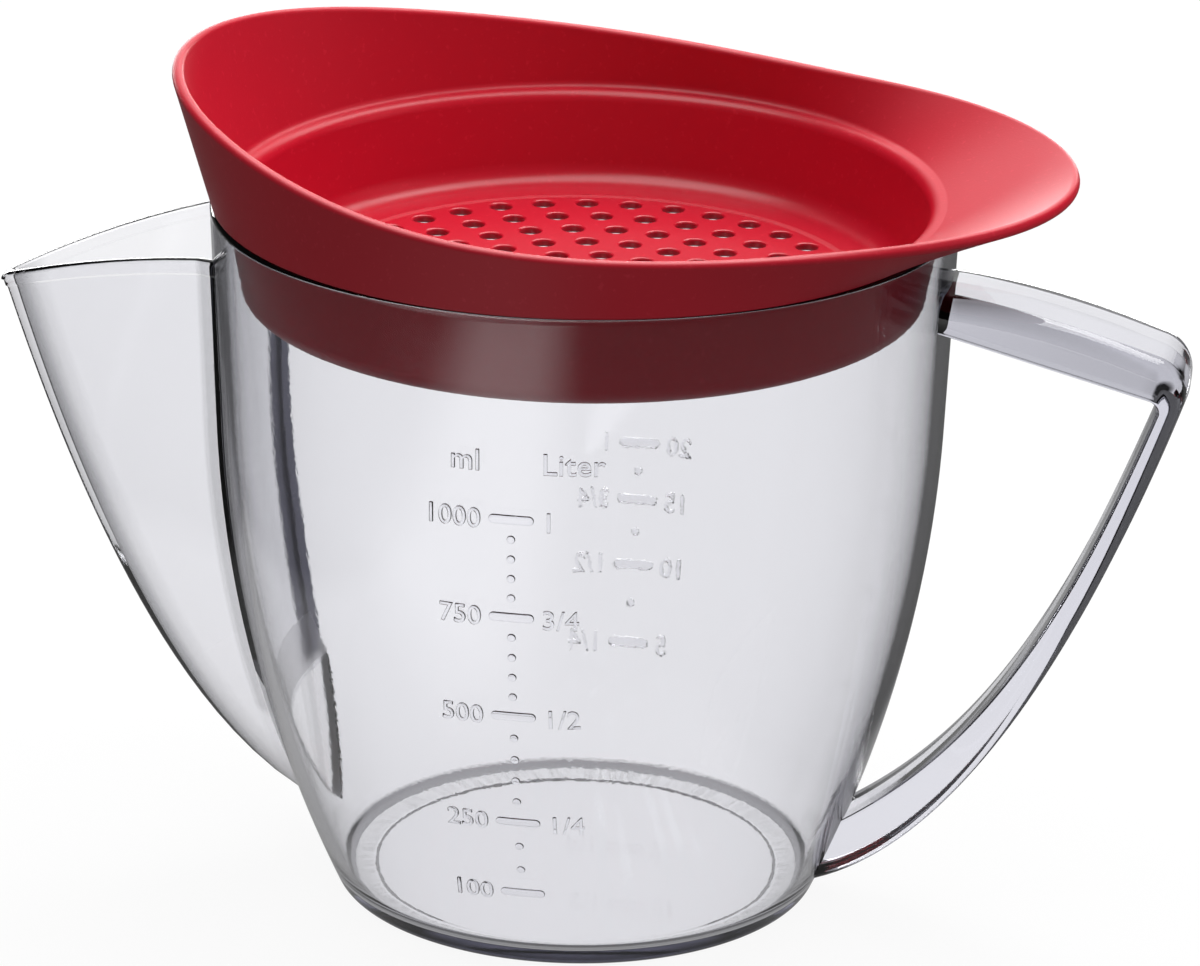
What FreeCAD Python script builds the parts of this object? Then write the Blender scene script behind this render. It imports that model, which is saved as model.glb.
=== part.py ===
import FreeCAD, Part
import math
import os
from FreeCAD import Vector

# A fat separator jug with a lift-out strainer.
# Millimetres. The origin is on the jug's axis, in the plane that it stands on.
# +X points to the handle, -X to the spout, +Z up. The object is symmetric about the XZ plane.

# --- Jug bowl ---
rim_radius = 67.5            # outside, at the top edge
jug_height = 131.35
draft_depth = 41.35          # straight side, measured down from the rim
draft_inset = 1.65           # how far the straight side comes in over that depth
foot_inset = 23.4            # from the rim's radius in to where the curved side reaches the table
heel_radius = 2.5            # rounding between the side and the foot
side_wall = 2.4
floor_top = 3.2              # upper face of the floor
floor_corner_radius = 4.0
foot_ring_width = 4.5
recess_depth = 0.8           # hollow under the floor, inside the foot ring

# --- Spout: a V-shaped trough with a curved keel ---
spout_reach = 41.0           # from the bowl's rim to the tip, along X
spout_tip_drop = 22.35       # from the bowl's rim down to the tip
spout_root_height = 9.5      # where the keel leaves the bowl's wall
keel_tip_lean = 17.4         # degrees from vertical at the tip
keel_tip_pull = 39.8         # how far the keel keeps its direction at the tip
keel_root_rise = 23.5        # degrees from horizontal at the root
keel_root_pull = 31.6
spout_half_angle = 24.0      # degrees, between a side and the XZ plane, at the tip's height
spout_angle_gain = 0.16      # degrees wider for each mm further down
spout_nose_radius = 2.2      # outside rounding along the keel
spout_channel_radius = 0.8   # inside rounding along the keel
spout_wall = 2.0
spout_rim_drop = 9.95        # from the bowl's rim down to the spout's top edge beside it
spout_rim_crown = 2.4        # how far the top edge bulges above a straight line
window_height = 32.0         # top of the opening between the bowl and the spout
spout_sections = 9

# --- Handle: a flat strap ---
handle_reach = 44.3          # from the bowl's rim to the elbow's outer corner, along X
elbow_drop = 22.25           # from the bowl's rim down to that corner
upper_root_drop = 10.85      # from the bowl's rim down to the top of the upper arm beside it
upper_arm_crown = 1.9        # how far the top bulges above a straight line
upper_arm_thickness = 6.8
elbow_radius = 7.5           # rounding of the outer corner
elbow_inner_radius = 1.5
elbow_wall = 5.1             # thickness of the lower arm just below the elbow
handle_width = 21.5
lower_root_width = 13.5
taper_hold = 0.35            # share of the lower arm's height that keeps its width at each end
strap_edge_radius = 1.8
lower_root_bottom = 4.2      # where the lower arm's outer curve reaches the bowl
lower_root_top = 17.5        # where its inner curve reaches the bowl
outer_lean = 17.4            # degrees from vertical at the elbow, outer curve
outer_lean_pull = 40.2
outer_rise = 19.45           # degrees from horizontal at the root, outer curve
outer_rise_pull = 32.7
inner_lean = 19.75
inner_lean_pull = 42.1
inner_rise = 33.1
inner_rise_pull = 31.4

# --- Strainer insert ---
seat_overhang = 0.5          # how far the flange's underside stands out past the jug's rim
mouth_clearance = 0.8        # between the plug ring and the bowl, at the rim
plug_wall = 2.2
plug_draft = 9.5             # degrees
plug_depth = 17.85           # from the jug's rim down to the basin's underside
plug_corner_radius = 4.5
plate_thickness = 1.8
basin_corner_radius = 3.0
flange_thickness = 2.2
shoulder_radius = 3.0        # rounding from the plug ring's wall into the flange
lip_radius = 0.8
# The flange's lip, seen from above: how far it stands out past the jug's rim at five bearings
lip_reach_handle = 21.6
lip_reach_handle_quarter = 5.3
lip_reach_side = -0.3
lip_reach_spout_quarter = 2.7
lip_reach_spout = 7.3
# The flange's lip: height above the jug's rim at the same bearings
lip_rise_handle = 7.35
lip_rise_handle_quarter = 8.95
lip_rise_side = 11.25
lip_rise_spout_quarter = 18.15
lip_rise_spout = 23.45
lip_points = 36
hole_diameter = 4.1
hole_pitch = 8.15            # along a ring of holes
hole_ring_step = 7.5         # from one ring of holes to the next
hole_ring_margin = 12.4      # from the basin's wall in to the outermost ring of holes

# --- Volume scale: raised marks on the bowl ---
relief = 0.4                 # how far a mark stands out
bar_length = 8.0
bar_width = 1.7
dot_diameter = 1.5
front_bar_heights = [17.2, 33.1, 55.6, 75.4, 94.0]     # 100, 250, 500, 750 and 1000 ml
front_dot_counts = [2, 4, 4, 4]                      # a dot each 50 ml
back_bar_heights = [24.4, 38.8, 51.4, 62.3]            # 5, 10, 15 and 20 fluid ounces
back_dot_counts = [1, 1, 1]

# --- Working values ---
belly_radius = rim_radius - draft_inset
belly_height = jug_height - draft_depth
foot_radius = rim_radius - foot_inset
spout_tip_height = jug_height - spout_tip_drop
spout_rim_height = jug_height - spout_rim_drop
elbow_height = jug_height - elbow_drop
upper_root_height = jug_height - upper_root_drop
spare = 5.0                  # how far a tool shape runs past what it cuts
snap = 0.01                  # how near an edge lies to where it is looked for
up = Vector(0, 0, 1)
axis_point = Vector(0, 0, 0)


def bowl_draft():
    """The straight upper side's direction and the direction into the wall, in the XZ plane."""
    along = Vector(rim_radius - belly_radius, 0, jug_height - belly_height).normalize()
    return along, Vector(-along.z, 0, along.x)


def bowl_arc():
    """Centre and radius of the curved side, which is tangent to the straight draft."""
    inward = bowl_draft()[1]
    belly = Vector(belly_radius, 0, belly_height)
    chord = belly - Vector(foot_radius, 0, 0)
    radius = -chord.dot(chord) / (2 * chord.dot(inward))
    return belly + inward * radius, radius


def bowl_radius(z, inset=0.0):
    """The bowl's radius at height z, on a surface that lies inset inside its outer one."""
    along, inward = bowl_draft()
    if z > belly_height + inset * inward.z:
        return belly_radius + (z - belly_height) * along.x / along.z - inset / along.z
    centre, radius = bowl_arc()
    return centre.x + math.sqrt((radius - inset) ** 2 - (z - centre.z) ** 2)


def bowl_solid(low, high, inset=0.0):
    """The space inside the bowl's surface, from height low to height high."""
    inward = bowl_draft()[1]
    bend = belly_height + inset * inward.z
    middle = (low + bend) / 2
    bottom_edge = Vector(bowl_radius(low, inset), 0, low)
    bend_point = Vector(bowl_radius(bend, inset), 0, bend)
    top_edge = Vector(bowl_radius(high, inset), 0, high)
    arc = Part.Arc(bottom_edge, Vector(bowl_radius(middle, inset), 0, middle), bend_point)
    edges = [
        Part.makeLine(Vector(0, 0, low), bottom_edge),
        arc.toShape(),
        Part.makeLine(bend_point, top_edge),
        Part.makeLine(top_edge, Vector(0, 0, high)),
        Part.makeLine(Vector(0, 0, high), Vector(0, 0, low)),
    ]
    return Part.Face(Part.Wire(edges)).revolve(axis_point, up, 360)


def circle_edges(solid, z):
    """The edges that lie wholly at height z and run round the axis."""
    return [
        edge
        for edge in solid.Edges
        if abs(edge.BoundBox.ZMin - z) < snap
        and abs(edge.BoundBox.ZMax - z) < snap
        and isinstance(edge.Curve, Part.Circle)
    ]


def side_prism(edges, half_width):
    """A closed outline in the XZ plane, made a solid that is symmetric about that plane."""
    face = Part.Face(Part.Wire(edges))
    face.translate(Vector(0, -half_width, 0))
    return face.extrude(Vector(0, 2 * half_width, 0))


def arm_curve(start, lean, lean_pull, end, rise, rise_pull):
    """A curve that leaves start downwards, leaning to the axis, and reaches end nearly level."""
    lean_angle = math.radians(lean)
    rise_angle = math.radians(rise)
    curve = Part.BezierCurve()
    curve.setPoles([
        start,
        start - Vector(math.sin(lean_angle), 0, math.cos(lean_angle)) * lean_pull,
        end + Vector(math.cos(rise_angle), 0, math.sin(rise_angle)) * rise_pull,
        end,
    ])
    return curve


# --- Spout ---


def keel_curve():
    """The spout's outer edge, with distance from the axis as x."""
    tip = Vector(rim_radius + spout_reach, 0, spout_tip_height)
    root = Vector(bowl_radius(spout_root_height), 0, spout_root_height)
    return arm_curve(tip, keel_tip_lean, keel_tip_pull, root, keel_root_rise, keel_root_pull)


def keel_reach(z):
    """The keel's distance from the axis at height z. Past its ends the keel runs on straight."""
    if z >= spout_tip_height:
        lean = math.tan(math.radians(keel_tip_lean))
        return rim_radius + spout_reach + (z - spout_tip_height) * lean
    if z <= spout_root_height:
        rise = math.tan(math.radians(keel_root_rise))
        return bowl_radius(spout_root_height) - (spout_root_height - z) / rise
    curve = keel_curve()
    low, high = 0.0, 1.0
    while high - low > 1e-7:
        middle = (low + high) / 2
        if curve.value(middle).z > z:
            low = middle
        else:
            high = middle
    return curve.value(low).x


def spout_section(z, inset, nose_radius):
    """The spout's V at height z, on a surface that lies inset inside its outer one."""
    angle = math.radians(spout_half_angle + spout_angle_gain * (spout_tip_height - z))
    sharp_tip = keel_reach(z) + (spout_nose_radius - inset) / math.sin(angle) - spout_nose_radius
    centre = sharp_tip - nose_radius / math.sin(angle)
    back = min(bowl_radius(z) / 2, centre - spare)
    touch_x = centre + nose_radius * math.sin(angle)
    touch_y = nose_radius * math.cos(angle)
    back_y = touch_y + (touch_x - back) * math.tan(angle)
    left, right = Vector(-back, -back_y, z), Vector(-back, back_y, z)
    nose_left, nose_right = Vector(-touch_x, -touch_y, z), Vector(-touch_x, touch_y, z)
    nose = Part.Arc(nose_left, Vector(-centre - nose_radius, 0, z), nose_right)
    return Part.Wire([
        Part.makeLine(left, nose_left),
        nose.toShape(),
        Part.makeLine(nose_right, right),
        Part.makeLine(right, left),
    ])


def spout_loft(inset, nose_radius):
    """The space inside the spout's surface, open to the bowl, from root to above the rim."""
    low = spout_root_height - spare
    high = max(spout_rim_height, spout_tip_height) + spare
    step = (high - low) / (spout_sections - 1)
    sections = [spout_section(low + i * step, inset, nose_radius) for i in range(spout_sections)]
    return Part.makeLoft(sections, True, False)


def above_spout_rim():
    """What is cut away above the spout's crowned top edge."""
    tip = Vector(-rim_radius - spout_reach, 0, spout_tip_height)
    root = Vector(-bowl_radius(spout_rim_height, side_wall), 0, spout_rim_height)
    crown = (tip + root) * 0.5 + Vector(0, 0, spout_rim_crown)
    far = tip - Vector(2 * spare, 0, 2 * spare * spout_rim_crown / spout_reach)
    top = max(spout_rim_height, spout_tip_height) + 3 * spare
    edges = [
        Part.makeLine(far, tip),
        Part.Arc(tip, crown, root).toShape(),
        Part.makeLine(root, Vector(0, 0, root.z)),
        Part.makeLine(Vector(0, 0, root.z), Vector(0, 0, top)),
        Part.makeLine(Vector(0, 0, top), Vector(far.x, 0, top)),
        Part.makeLine(Vector(far.x, 0, top), far),
    ]
    return side_prism(edges, rim_radius)


def make_spout(bowl):
    """The V-shaped trough outside the bowl's wall."""
    trough = spout_loft(0.0, spout_nose_radius).cut(spout_loft(spout_wall, spout_channel_radius))
    return largest_solid(trough.cut(above_spout_rim()).cut(bowl))


def largest_solid(shape):
    """The biggest of a shape's solids."""
    return max(shape.Solids, key=lambda solid: solid.Volume)


# --- Jug body ---


def make_jug_body(bowl):
    """The bowl's wall and floor, with its foot ring and the window into the spout."""
    cavity = bowl_solid(floor_top, jug_height + spare, side_wall)
    cavity = cavity.makeFillet(floor_corner_radius, circle_edges(cavity, floor_top))
    recess_radius = foot_radius - heel_radius - foot_ring_width
    recess = Part.makeCylinder(recess_radius, recess_depth)
    window_zone = Part.makeBox(
        2 * rim_radius, 2 * rim_radius, window_height - floor_top,
        Vector(-2 * rim_radius, -rim_radius, floor_top),
    )
    window = spout_loft(spout_wall, spout_channel_radius).common(window_zone)
    return largest_solid(bowl.cut(cavity).cut(recess).cut(window))


# --- Handle ---


def strap_outline():
    """The handle's side view: outer line, elbow and inner line, running on inside the bowl."""
    corner = Vector(rim_radius + handle_reach, 0, elbow_height)
    top_root = Vector(bowl_radius(upper_root_height), 0, upper_root_height)
    fall = (corner - top_root).normalize()
    drop = upper_arm_thickness / fall.x
    top_crown = (corner + top_root) * 0.5 + Vector(0, 0, upper_arm_crown)
    inner_x = corner.x - elbow_wall - drop * math.tan(math.radians(outer_lean)) / 2
    inner_corner = Vector(inner_x, 0, corner.z + (inner_x - corner.x) * fall.z / fall.x - drop)
    under_root = top_root - Vector(0, 0, drop)

    low_root = Vector(bowl_radius(lower_root_bottom), 0, lower_root_bottom)
    outer = arm_curve(corner, outer_lean, outer_lean_pull, low_root, outer_rise, outer_rise_pull)
    high_root = Vector(bowl_radius(lower_root_top), 0, lower_root_top)
    inner = arm_curve(inner_corner, inner_lean, inner_lean_pull, high_root, inner_rise, inner_rise_pull)

    top_inside = top_root - fall * spare
    under_inside = under_root - fall * spare
    low_inside = inside_bowl(low_root, outer_rise)
    high_inside = inside_bowl(high_root, inner_rise)
    return [
        Part.makeLine(top_inside, top_root),
        Part.Arc(top_root, top_crown, corner).toShape(),
        outer.toShape(),
        Part.makeLine(low_root, low_inside),
        Part.makeLine(low_inside, high_inside),
        Part.makeLine(high_inside, high_root),
        inner.toShape(),
        Part.makeLine(inner_corner, under_root),
        Part.makeLine(under_root, under_inside),
        Part.makeLine(under_inside, top_inside),
    ], corner, inner_corner


def inside_bowl(root, rise):
    """A point further along a lower-arm line, inside the bowl's wall."""
    angle = math.radians(rise)
    return root - Vector(math.cos(angle), 0, math.sin(angle)) * spare


def corner_edges(solid, corner):
    """The edges that run along Y through a corner of the side view."""
    return [
        edge
        for edge in solid.Edges
        if abs(edge.BoundBox.XMin - corner.x) < snap
        and abs(edge.BoundBox.XMax - corner.x) < snap
        and abs(edge.BoundBox.ZMin - corner.z) < snap
    ]


def taper_curve(side):
    """One long side of the strap's front view, from the elbow down to the lower root."""
    wide, narrow = side * handle_width / 2, side * lower_root_width / 2
    fall = elbow_height - lower_root_bottom
    curve = Part.BezierCurve()
    curve.setPoles([
        Vector(0, wide, elbow_height),
        Vector(0, wide, elbow_height - taper_hold * fall),
        Vector(0, narrow, lower_root_bottom + taper_hold * fall),
        Vector(0, narrow, lower_root_bottom),
    ])
    return curve.toShape()


def strap_width_zone():
    """The handle's front view: full width down to the elbow, then tapering to the lower root."""
    wide, narrow = handle_width / 2, lower_root_width / 2
    top = upper_root_height + 3 * spare
    bottom = lower_root_bottom - 3 * spare
    outline = Part.Wire([
        Part.makeLine(Vector(0, -wide, top), Vector(0, wide, top)),
        Part.makeLine(Vector(0, wide, top), Vector(0, wide, elbow_height)),
        taper_curve(1),
        Part.makeLine(Vector(0, narrow, lower_root_bottom), Vector(0, narrow, bottom)),
        Part.makeLine(Vector(0, narrow, bottom), Vector(0, -narrow, bottom)),
        Part.makeLine(Vector(0, -narrow, bottom), Vector(0, -narrow, lower_root_bottom)),
        taper_curve(-1),
        Part.makeLine(Vector(0, -wide, elbow_height), Vector(0, -wide, top)),
    ])
    return Part.Face(outline).extrude(Vector(rim_radius + handle_reach + spare, 0, 0))


def long_edges(strap):
    """The strap's edges between its narrow sides and its broad faces, outside the bowl."""
    edges = []
    for edge in strap.Edges:
        middle = (edge.FirstParameter + edge.LastParameter) / 2
        point, along = edge.valueAt(middle), edge.tangentAt(middle)
        on_side = abs(point.y) > lower_root_width / 2 - 1 and abs(along.y) < 0.5
        seam = edge.BoundBox.ZLength < snap
        outside = point.x > bowl_radius(max(point.z, 0)) - side_wall
        if on_side and outside and not seam:
            edges.append(edge)
    return edges


def make_handle(bowl):
    """The strap from the bowl's rim out to the elbow and back to the foot."""
    edges, corner, inner_corner = strap_outline()
    strap = side_prism(edges, handle_width)
    strap = strap.makeFillet(elbow_radius, corner_edges(strap, corner))
    strap = strap.makeFillet(elbow_inner_radius, corner_edges(strap, inner_corner))
    strap = strap.common(strap_width_zone())
    edge_radius = min(strap_edge_radius, elbow_wall / 2.5, upper_arm_thickness / 2.5)
    strap = strap.makeFillet(edge_radius, long_edges(strap))
    return largest_solid(strap.cut(bowl))


# --- Strainer insert ---


def cosine_series(values):
    """Cosine series through five values at bearings 0, 45, 90, 135 and 180 degrees."""
    a, b, c, d, e = values
    diagonal = math.cos(math.pi / 4)
    second = (a - 2 * c + e) / 4
    odd_sum = (a - e) / 2
    odd_quarter = (b - d) / (2 * diagonal)
    first = (odd_sum + odd_quarter) / 2
    third = (odd_sum - odd_quarter) / 2
    even = (b + d) / 2
    fourth = ((a + e) / 2 + c) / 4 - even / 2
    mean = even + fourth
    return [mean, first, second, third, fourth]


def series_value(series, bearing):
    """A cosine series at a bearing in radians from +X."""
    return sum(term * math.cos(order * bearing) for order, term in enumerate(series))


def flange_base_radius():
    """Outside of the flange where it rests on the jug's rim."""
    return rim_radius + seat_overhang


def plate_radius():
    """Inside of the plug ring where its wall would reach the floor plate."""
    lean = math.tan(math.radians(plug_draft))
    return basin_mouth_radius() - (plug_depth - plate_thickness) * lean


def basin_mouth_radius():
    """Inside of the plug ring at the height of the jug's rim."""
    return bowl_radius(jug_height, side_wall) - mouth_clearance - plug_wall


def lip_curves():
    """The flange's outer and inner lip lines, as closed curves with matching points."""
    reach = cosine_series([
        lip_reach_handle, lip_reach_handle_quarter, lip_reach_side,
        lip_reach_spout_quarter, lip_reach_spout,
    ])
    rise = cosine_series([
        lip_rise_handle, lip_rise_handle_quarter, lip_rise_side,
        lip_rise_spout_quarter, lip_rise_spout,
    ])
    outer, inner = [], []
    for i in range(lip_points):
        bearing = 2 * math.pi * i / lip_points
        r = rim_radius + series_value(reach, bearing)
        z = jug_height + series_value(rise, bearing)
        slope = math.hypot(r - flange_base_radius(), z - jug_height)
        across = Vector(-(z - jug_height) / slope, 0, (r - flange_base_radius()) / slope)
        inner_r, inner_z = r + across.x * flange_thickness, z + across.z * flange_thickness
        outer.append(Vector(r * math.cos(bearing), r * math.sin(bearing), z))
        inner.append(Vector(inner_r * math.cos(bearing), inner_r * math.sin(bearing), inner_z))
    return [closed_curve(points) for points in (outer, inner)]


def closed_curve(points):
    """A smooth closed curve through the points."""
    curve = Part.BSplineCurve()
    curve.interpolate(Points=points, PeriodicFlag=True)
    return curve.toShape()


def make_flange():
    """The funnel above the jug's rim, from a flat underside to the lip."""
    outer_lip, inner_lip = lip_curves()
    outer_base = Part.makeCircle(flange_base_radius(), Vector(0, 0, jug_height))
    inner_base = Part.makeCircle(basin_mouth_radius(), Vector(0, 0, jug_height))
    opening = Part.Face(Part.Wire(inner_base))
    shell = Part.Shell([
        Part.Face(Part.Wire(outer_base)).cut(opening).Faces[0],
        Part.makeRuledSurface(outer_base, outer_lip),
        Part.makeRuledSurface(outer_lip, inner_lip),
        Part.makeRuledSurface(inner_lip, inner_base),
    ])
    shell.sewShape()
    return Part.Solid(shell)


def make_basin():
    """The plug ring and floor plate, without its holes."""
    lean = math.tan(math.radians(plug_draft))
    bottom = jug_height - plug_depth
    inner_top = basin_mouth_radius()
    outer_top = inner_top + plug_wall
    inner_bottom = plate_radius()
    outer_bottom = outer_top - plug_depth * lean
    plate_top = bottom + plate_thickness
    outline = Part.makePolygon([
        Vector(0, 0, bottom),
        Vector(outer_bottom, 0, bottom),
        Vector(outer_top, 0, jug_height),
        Vector(inner_top, 0, jug_height),
        Vector(inner_bottom, 0, plate_top),
        Vector(0, 0, plate_top),
        Vector(0, 0, bottom),
    ])
    basin = Part.Face(outline).revolve(axis_point, up, 360)
    basin = basin.makeFillet(plug_corner_radius, circle_edges(basin, bottom))
    return basin.makeFillet(basin_corner_radius, circle_edges(basin, plate_top))


def drain_holes():
    """Rings of holes through the plate, each ring half a pitch off from the next."""
    bottom = jug_height - plug_depth
    drill = Part.makeCylinder(
        hole_diameter / 2, plate_thickness + 2 * spare, Vector(0, 0, bottom - spare)
    )
    drills = []
    ring_radius = plate_radius() - hole_ring_margin
    shifted = False
    while ring_radius > hole_diameter:
        count = round(2 * math.pi * ring_radius / hole_pitch)
        step = 360.0 / count
        for i in range(count):
            bearing = math.radians(90 + step * (i + (0.5 if shifted else 0)))
            hole = drill.copy()
            hole.translate(Vector(ring_radius * math.cos(bearing), ring_radius * math.sin(bearing), 0))
            drills.append(hole)
        ring_radius -= hole_ring_step
        shifted = not shifted
    return Part.Compound(drills + [drill])


def lip_edges(solid):
    """The two closed lines along the flange's lip."""
    return [edge for edge in solid.Edges if edge.Closed and isinstance(edge.Curve, Part.BSplineCurve)]


def make_strainer():
    """The whole insert, one moulding."""
    blank = make_flange().fuse(make_basin()).removeSplitter()
    blank = blank.makeFillet(min(lip_radius, flange_thickness / 2.5), lip_edges(blank))
    mouth = [edge for edge in circle_edges(blank, jug_height)
             if abs(edge.Curve.Radius - basin_mouth_radius()) < snap]
    blank = blank.makeFillet(shoulder_radius, mouth)
    return largest_solid(blank.cut(drain_holes()))


# --- Volume scale ---


def mark(length, width, z, side):
    """A round-ended bar along X at height z, running out through the wall on side +1 or -1."""
    half = max(length - width, 0) / 2
    reach = Vector(0, side * (rim_radius + spare), 0)
    ends = [
        Part.makeCylinder(width / 2, rim_radius + spare, Vector(x, 0, z), reach)
        for x in ({-half, half})
    ]
    if half == 0:
        return ends[0]
    start_y = min(0, reach.y)
    bar = Part.makeBox(2 * half, abs(reach.y), width, Vector(-half, start_y, z - width / 2))
    return bar.fuse(ends)


def scale_marks(bar_heights, dots_between, side):
    """The bars of one scale and the dots spaced evenly between them."""
    marks = [mark(bar_length, bar_width, z, side) for z in bar_heights]
    for low, high, dots in zip(bar_heights, bar_heights[1:], dots_between):
        step = (high - low) / (dots + 1)
        marks += [mark(dot_diameter, dot_diameter, low + step * (i + 1), side) for i in range(dots)]
    return marks


def make_volume_scale(bowl):
    """Raised marks on the bowl's outside, millilitres in front and fluid ounces behind."""
    skin = bowl_solid(foot_ring_width, jug_height, -relief).cut(bowl)
    marks = scale_marks(front_bar_heights, front_dot_counts, -1)
    marks += scale_marks(back_bar_heights, back_dot_counts, 1)
    return Part.Compound([largest_solid(shape.common(skin)) for shape in marks])


def main():
    """Builds every sub-part and writes one STEP file for each."""
    bowl = bowl_solid(0, jug_height)
    bowl = bowl.makeFillet(heel_radius, circle_edges(bowl, 0))
    parts = {
        "jug_body": make_jug_body(bowl),
        "pouring_spout": make_spout(bowl),
        "strap_handle": make_handle(bowl),
        "volume_scale": make_volume_scale(bowl),
        "strainer_insert": make_strainer(),
    }
    os.makedirs("parts", exist_ok=True)
    for name, shape in parts.items():
        shape.exportStep(f"parts/{name}.step")
        box = shape.optimalBoundingBox(False)
        print(
            f"{name}: {len(shape.Solids)} solid(s), valid {shape.isValid()}, {shape.Volume / 1000:.1f} ml,"
            f" x {box.XMin:.1f} {box.XMax:.1f}, y {box.YMin:.1f} {box.YMax:.1f},"
            f" z {box.ZMin:.1f} {box.ZMax:.1f}"
        )


main()
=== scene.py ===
"""A fat separator: a clear measuring jug with a pouring spout, and a red strainer that lifts out.

Lengths are in metres. The origin is on the jug's axis, on the table; +X points to the handle.
"""
import logging
import math
from collections.abc import Sequence
from dataclasses import dataclass
from enum import Enum
from functools import partial

import bmesh
import bpy
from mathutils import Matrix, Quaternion, Vector

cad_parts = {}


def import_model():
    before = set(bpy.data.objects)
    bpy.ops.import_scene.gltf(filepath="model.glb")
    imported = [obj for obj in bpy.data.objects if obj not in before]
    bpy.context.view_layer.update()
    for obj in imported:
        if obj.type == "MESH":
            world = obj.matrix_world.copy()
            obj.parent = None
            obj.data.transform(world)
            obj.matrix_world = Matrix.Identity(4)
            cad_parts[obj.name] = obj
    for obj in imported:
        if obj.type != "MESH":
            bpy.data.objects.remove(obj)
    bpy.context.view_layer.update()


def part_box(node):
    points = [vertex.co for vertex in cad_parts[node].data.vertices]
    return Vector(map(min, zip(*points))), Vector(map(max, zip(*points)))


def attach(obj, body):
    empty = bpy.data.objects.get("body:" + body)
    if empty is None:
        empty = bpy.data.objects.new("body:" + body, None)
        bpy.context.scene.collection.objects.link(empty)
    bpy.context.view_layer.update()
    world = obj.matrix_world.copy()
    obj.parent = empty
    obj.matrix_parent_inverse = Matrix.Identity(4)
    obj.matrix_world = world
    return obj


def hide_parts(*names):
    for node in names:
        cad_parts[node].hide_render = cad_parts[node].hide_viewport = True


MM = 0.001
ROUND_STEPS = 256                    # segments round the jug and the strainer
BOWL_WALL = 2.4 * MM
SPOUT_TIP_DROP = 22.35 * MM          # how far the spout's tip lies below the jug's rim
log = logging.getLogger("fat_separator")


class Cut(Enum):
    """What a second closed mesh does to the first."""

    JOIN = "UNION"
    REMOVE = "DIFFERENCE"


class Side(Enum):
    """The side of the jug that a scale stands on, as the sign of its Y."""

    FRONT = -1
    BACK = 1


class Anchor(Enum):
    """The end of a word that stands at its given place."""

    LEFT = "LEFT"
    RIGHT = "RIGHT"


class Ease(Enum):
    """How a value changes between its two ends."""

    EVEN = "LINEAR"
    SOFT = "SMOOTHSTEP"


class Blend(Enum):
    """What a blend is made of."""

    VALUES = "FLOAT"
    COLOURS = "RGBA"


# --- Modelling steps that several pieces use ---


def deselect_all() -> None:
    """Leaves nothing selected, so that the next operator acts on one piece."""
    bpy.ops.object.select_all(action="DESELECT")


def select_only(piece: bpy.types.Object) -> None:
    """Makes one object the selected and active one.

    Args:
        piece: The object to work on.
    """
    deselect_all()
    piece.select_set(True)
    bpy.context.view_layer.objects.active = piece


def apply_modifier(piece: bpy.types.Object, kind: str, **settings: object) -> None:
    """Adds a modifier and applies it.

    Args:
        piece: The object to change.
        kind: Blender's name for the modifier's type.
        settings: The modifier's own values.
    """
    select_only(piece)
    modifier = piece.modifiers.new(kind.title(), kind)
    for name, value in settings.items():
        setattr(modifier, name, value)
    bpy.ops.object.modifier_apply(modifier=modifier.name)


def combine(piece: bpy.types.Object, tool: bpy.types.Object, cut: Cut) -> None:
    """Joins a closed mesh to a piece or cuts it out, and deletes it.

    Args:
        piece: The object that stays.
        tool: The object that is used up.
        cut: Whether the tool is added or taken away.
    """
    apply_modifier(piece, "BOOLEAN", object=tool, operation=cut.value, solver="EXACT")
    bpy.data.objects.remove(tool)


def join_all(pieces: Sequence[bpy.types.Object], name: str) -> bpy.types.Object:
    """Makes several meshes one object.

    Args:
        pieces: The objects to join.
        name: The joined object's name.

    Returns:
        The joined object.
    """
    deselect_all()
    for piece in pieces:
        piece.select_set(True)
    bpy.context.view_layer.objects.active = pieces[0]
    bpy.ops.object.join()
    pieces[0].name = name
    return pieces[0]


def dress(piece: bpy.types.Object, material: bpy.types.Material, angle: float) -> None:
    """Shades a finished piece smooth, with its sharper edges kept, and gives it its material.

    Args:
        piece: The object.
        material: The one material that it has.
        angle: The largest turn that is smoothed, in degrees.
    """
    select_only(piece)
    bpy.ops.object.shade_smooth_by_angle(angle=math.radians(angle))
    piece.data.materials.clear()
    piece.data.materials.append(material)


def face_outwards(piece: bpy.types.Object, merge: float = 0.0) -> None:
    """Turns a closed mesh's faces outwards.

    Args:
        piece: The object.
        merge: How near to each other points are merged first, or 0 for none.
    """
    select_only(piece)
    bpy.ops.object.mode_set(mode="EDIT")
    bpy.ops.mesh.select_all(action="SELECT")
    if merge:
        bpy.ops.mesh.remove_doubles(threshold=merge)
    bpy.ops.mesh.normals_make_consistent(inside=False)
    bpy.ops.object.mode_set(mode="OBJECT")


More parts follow.
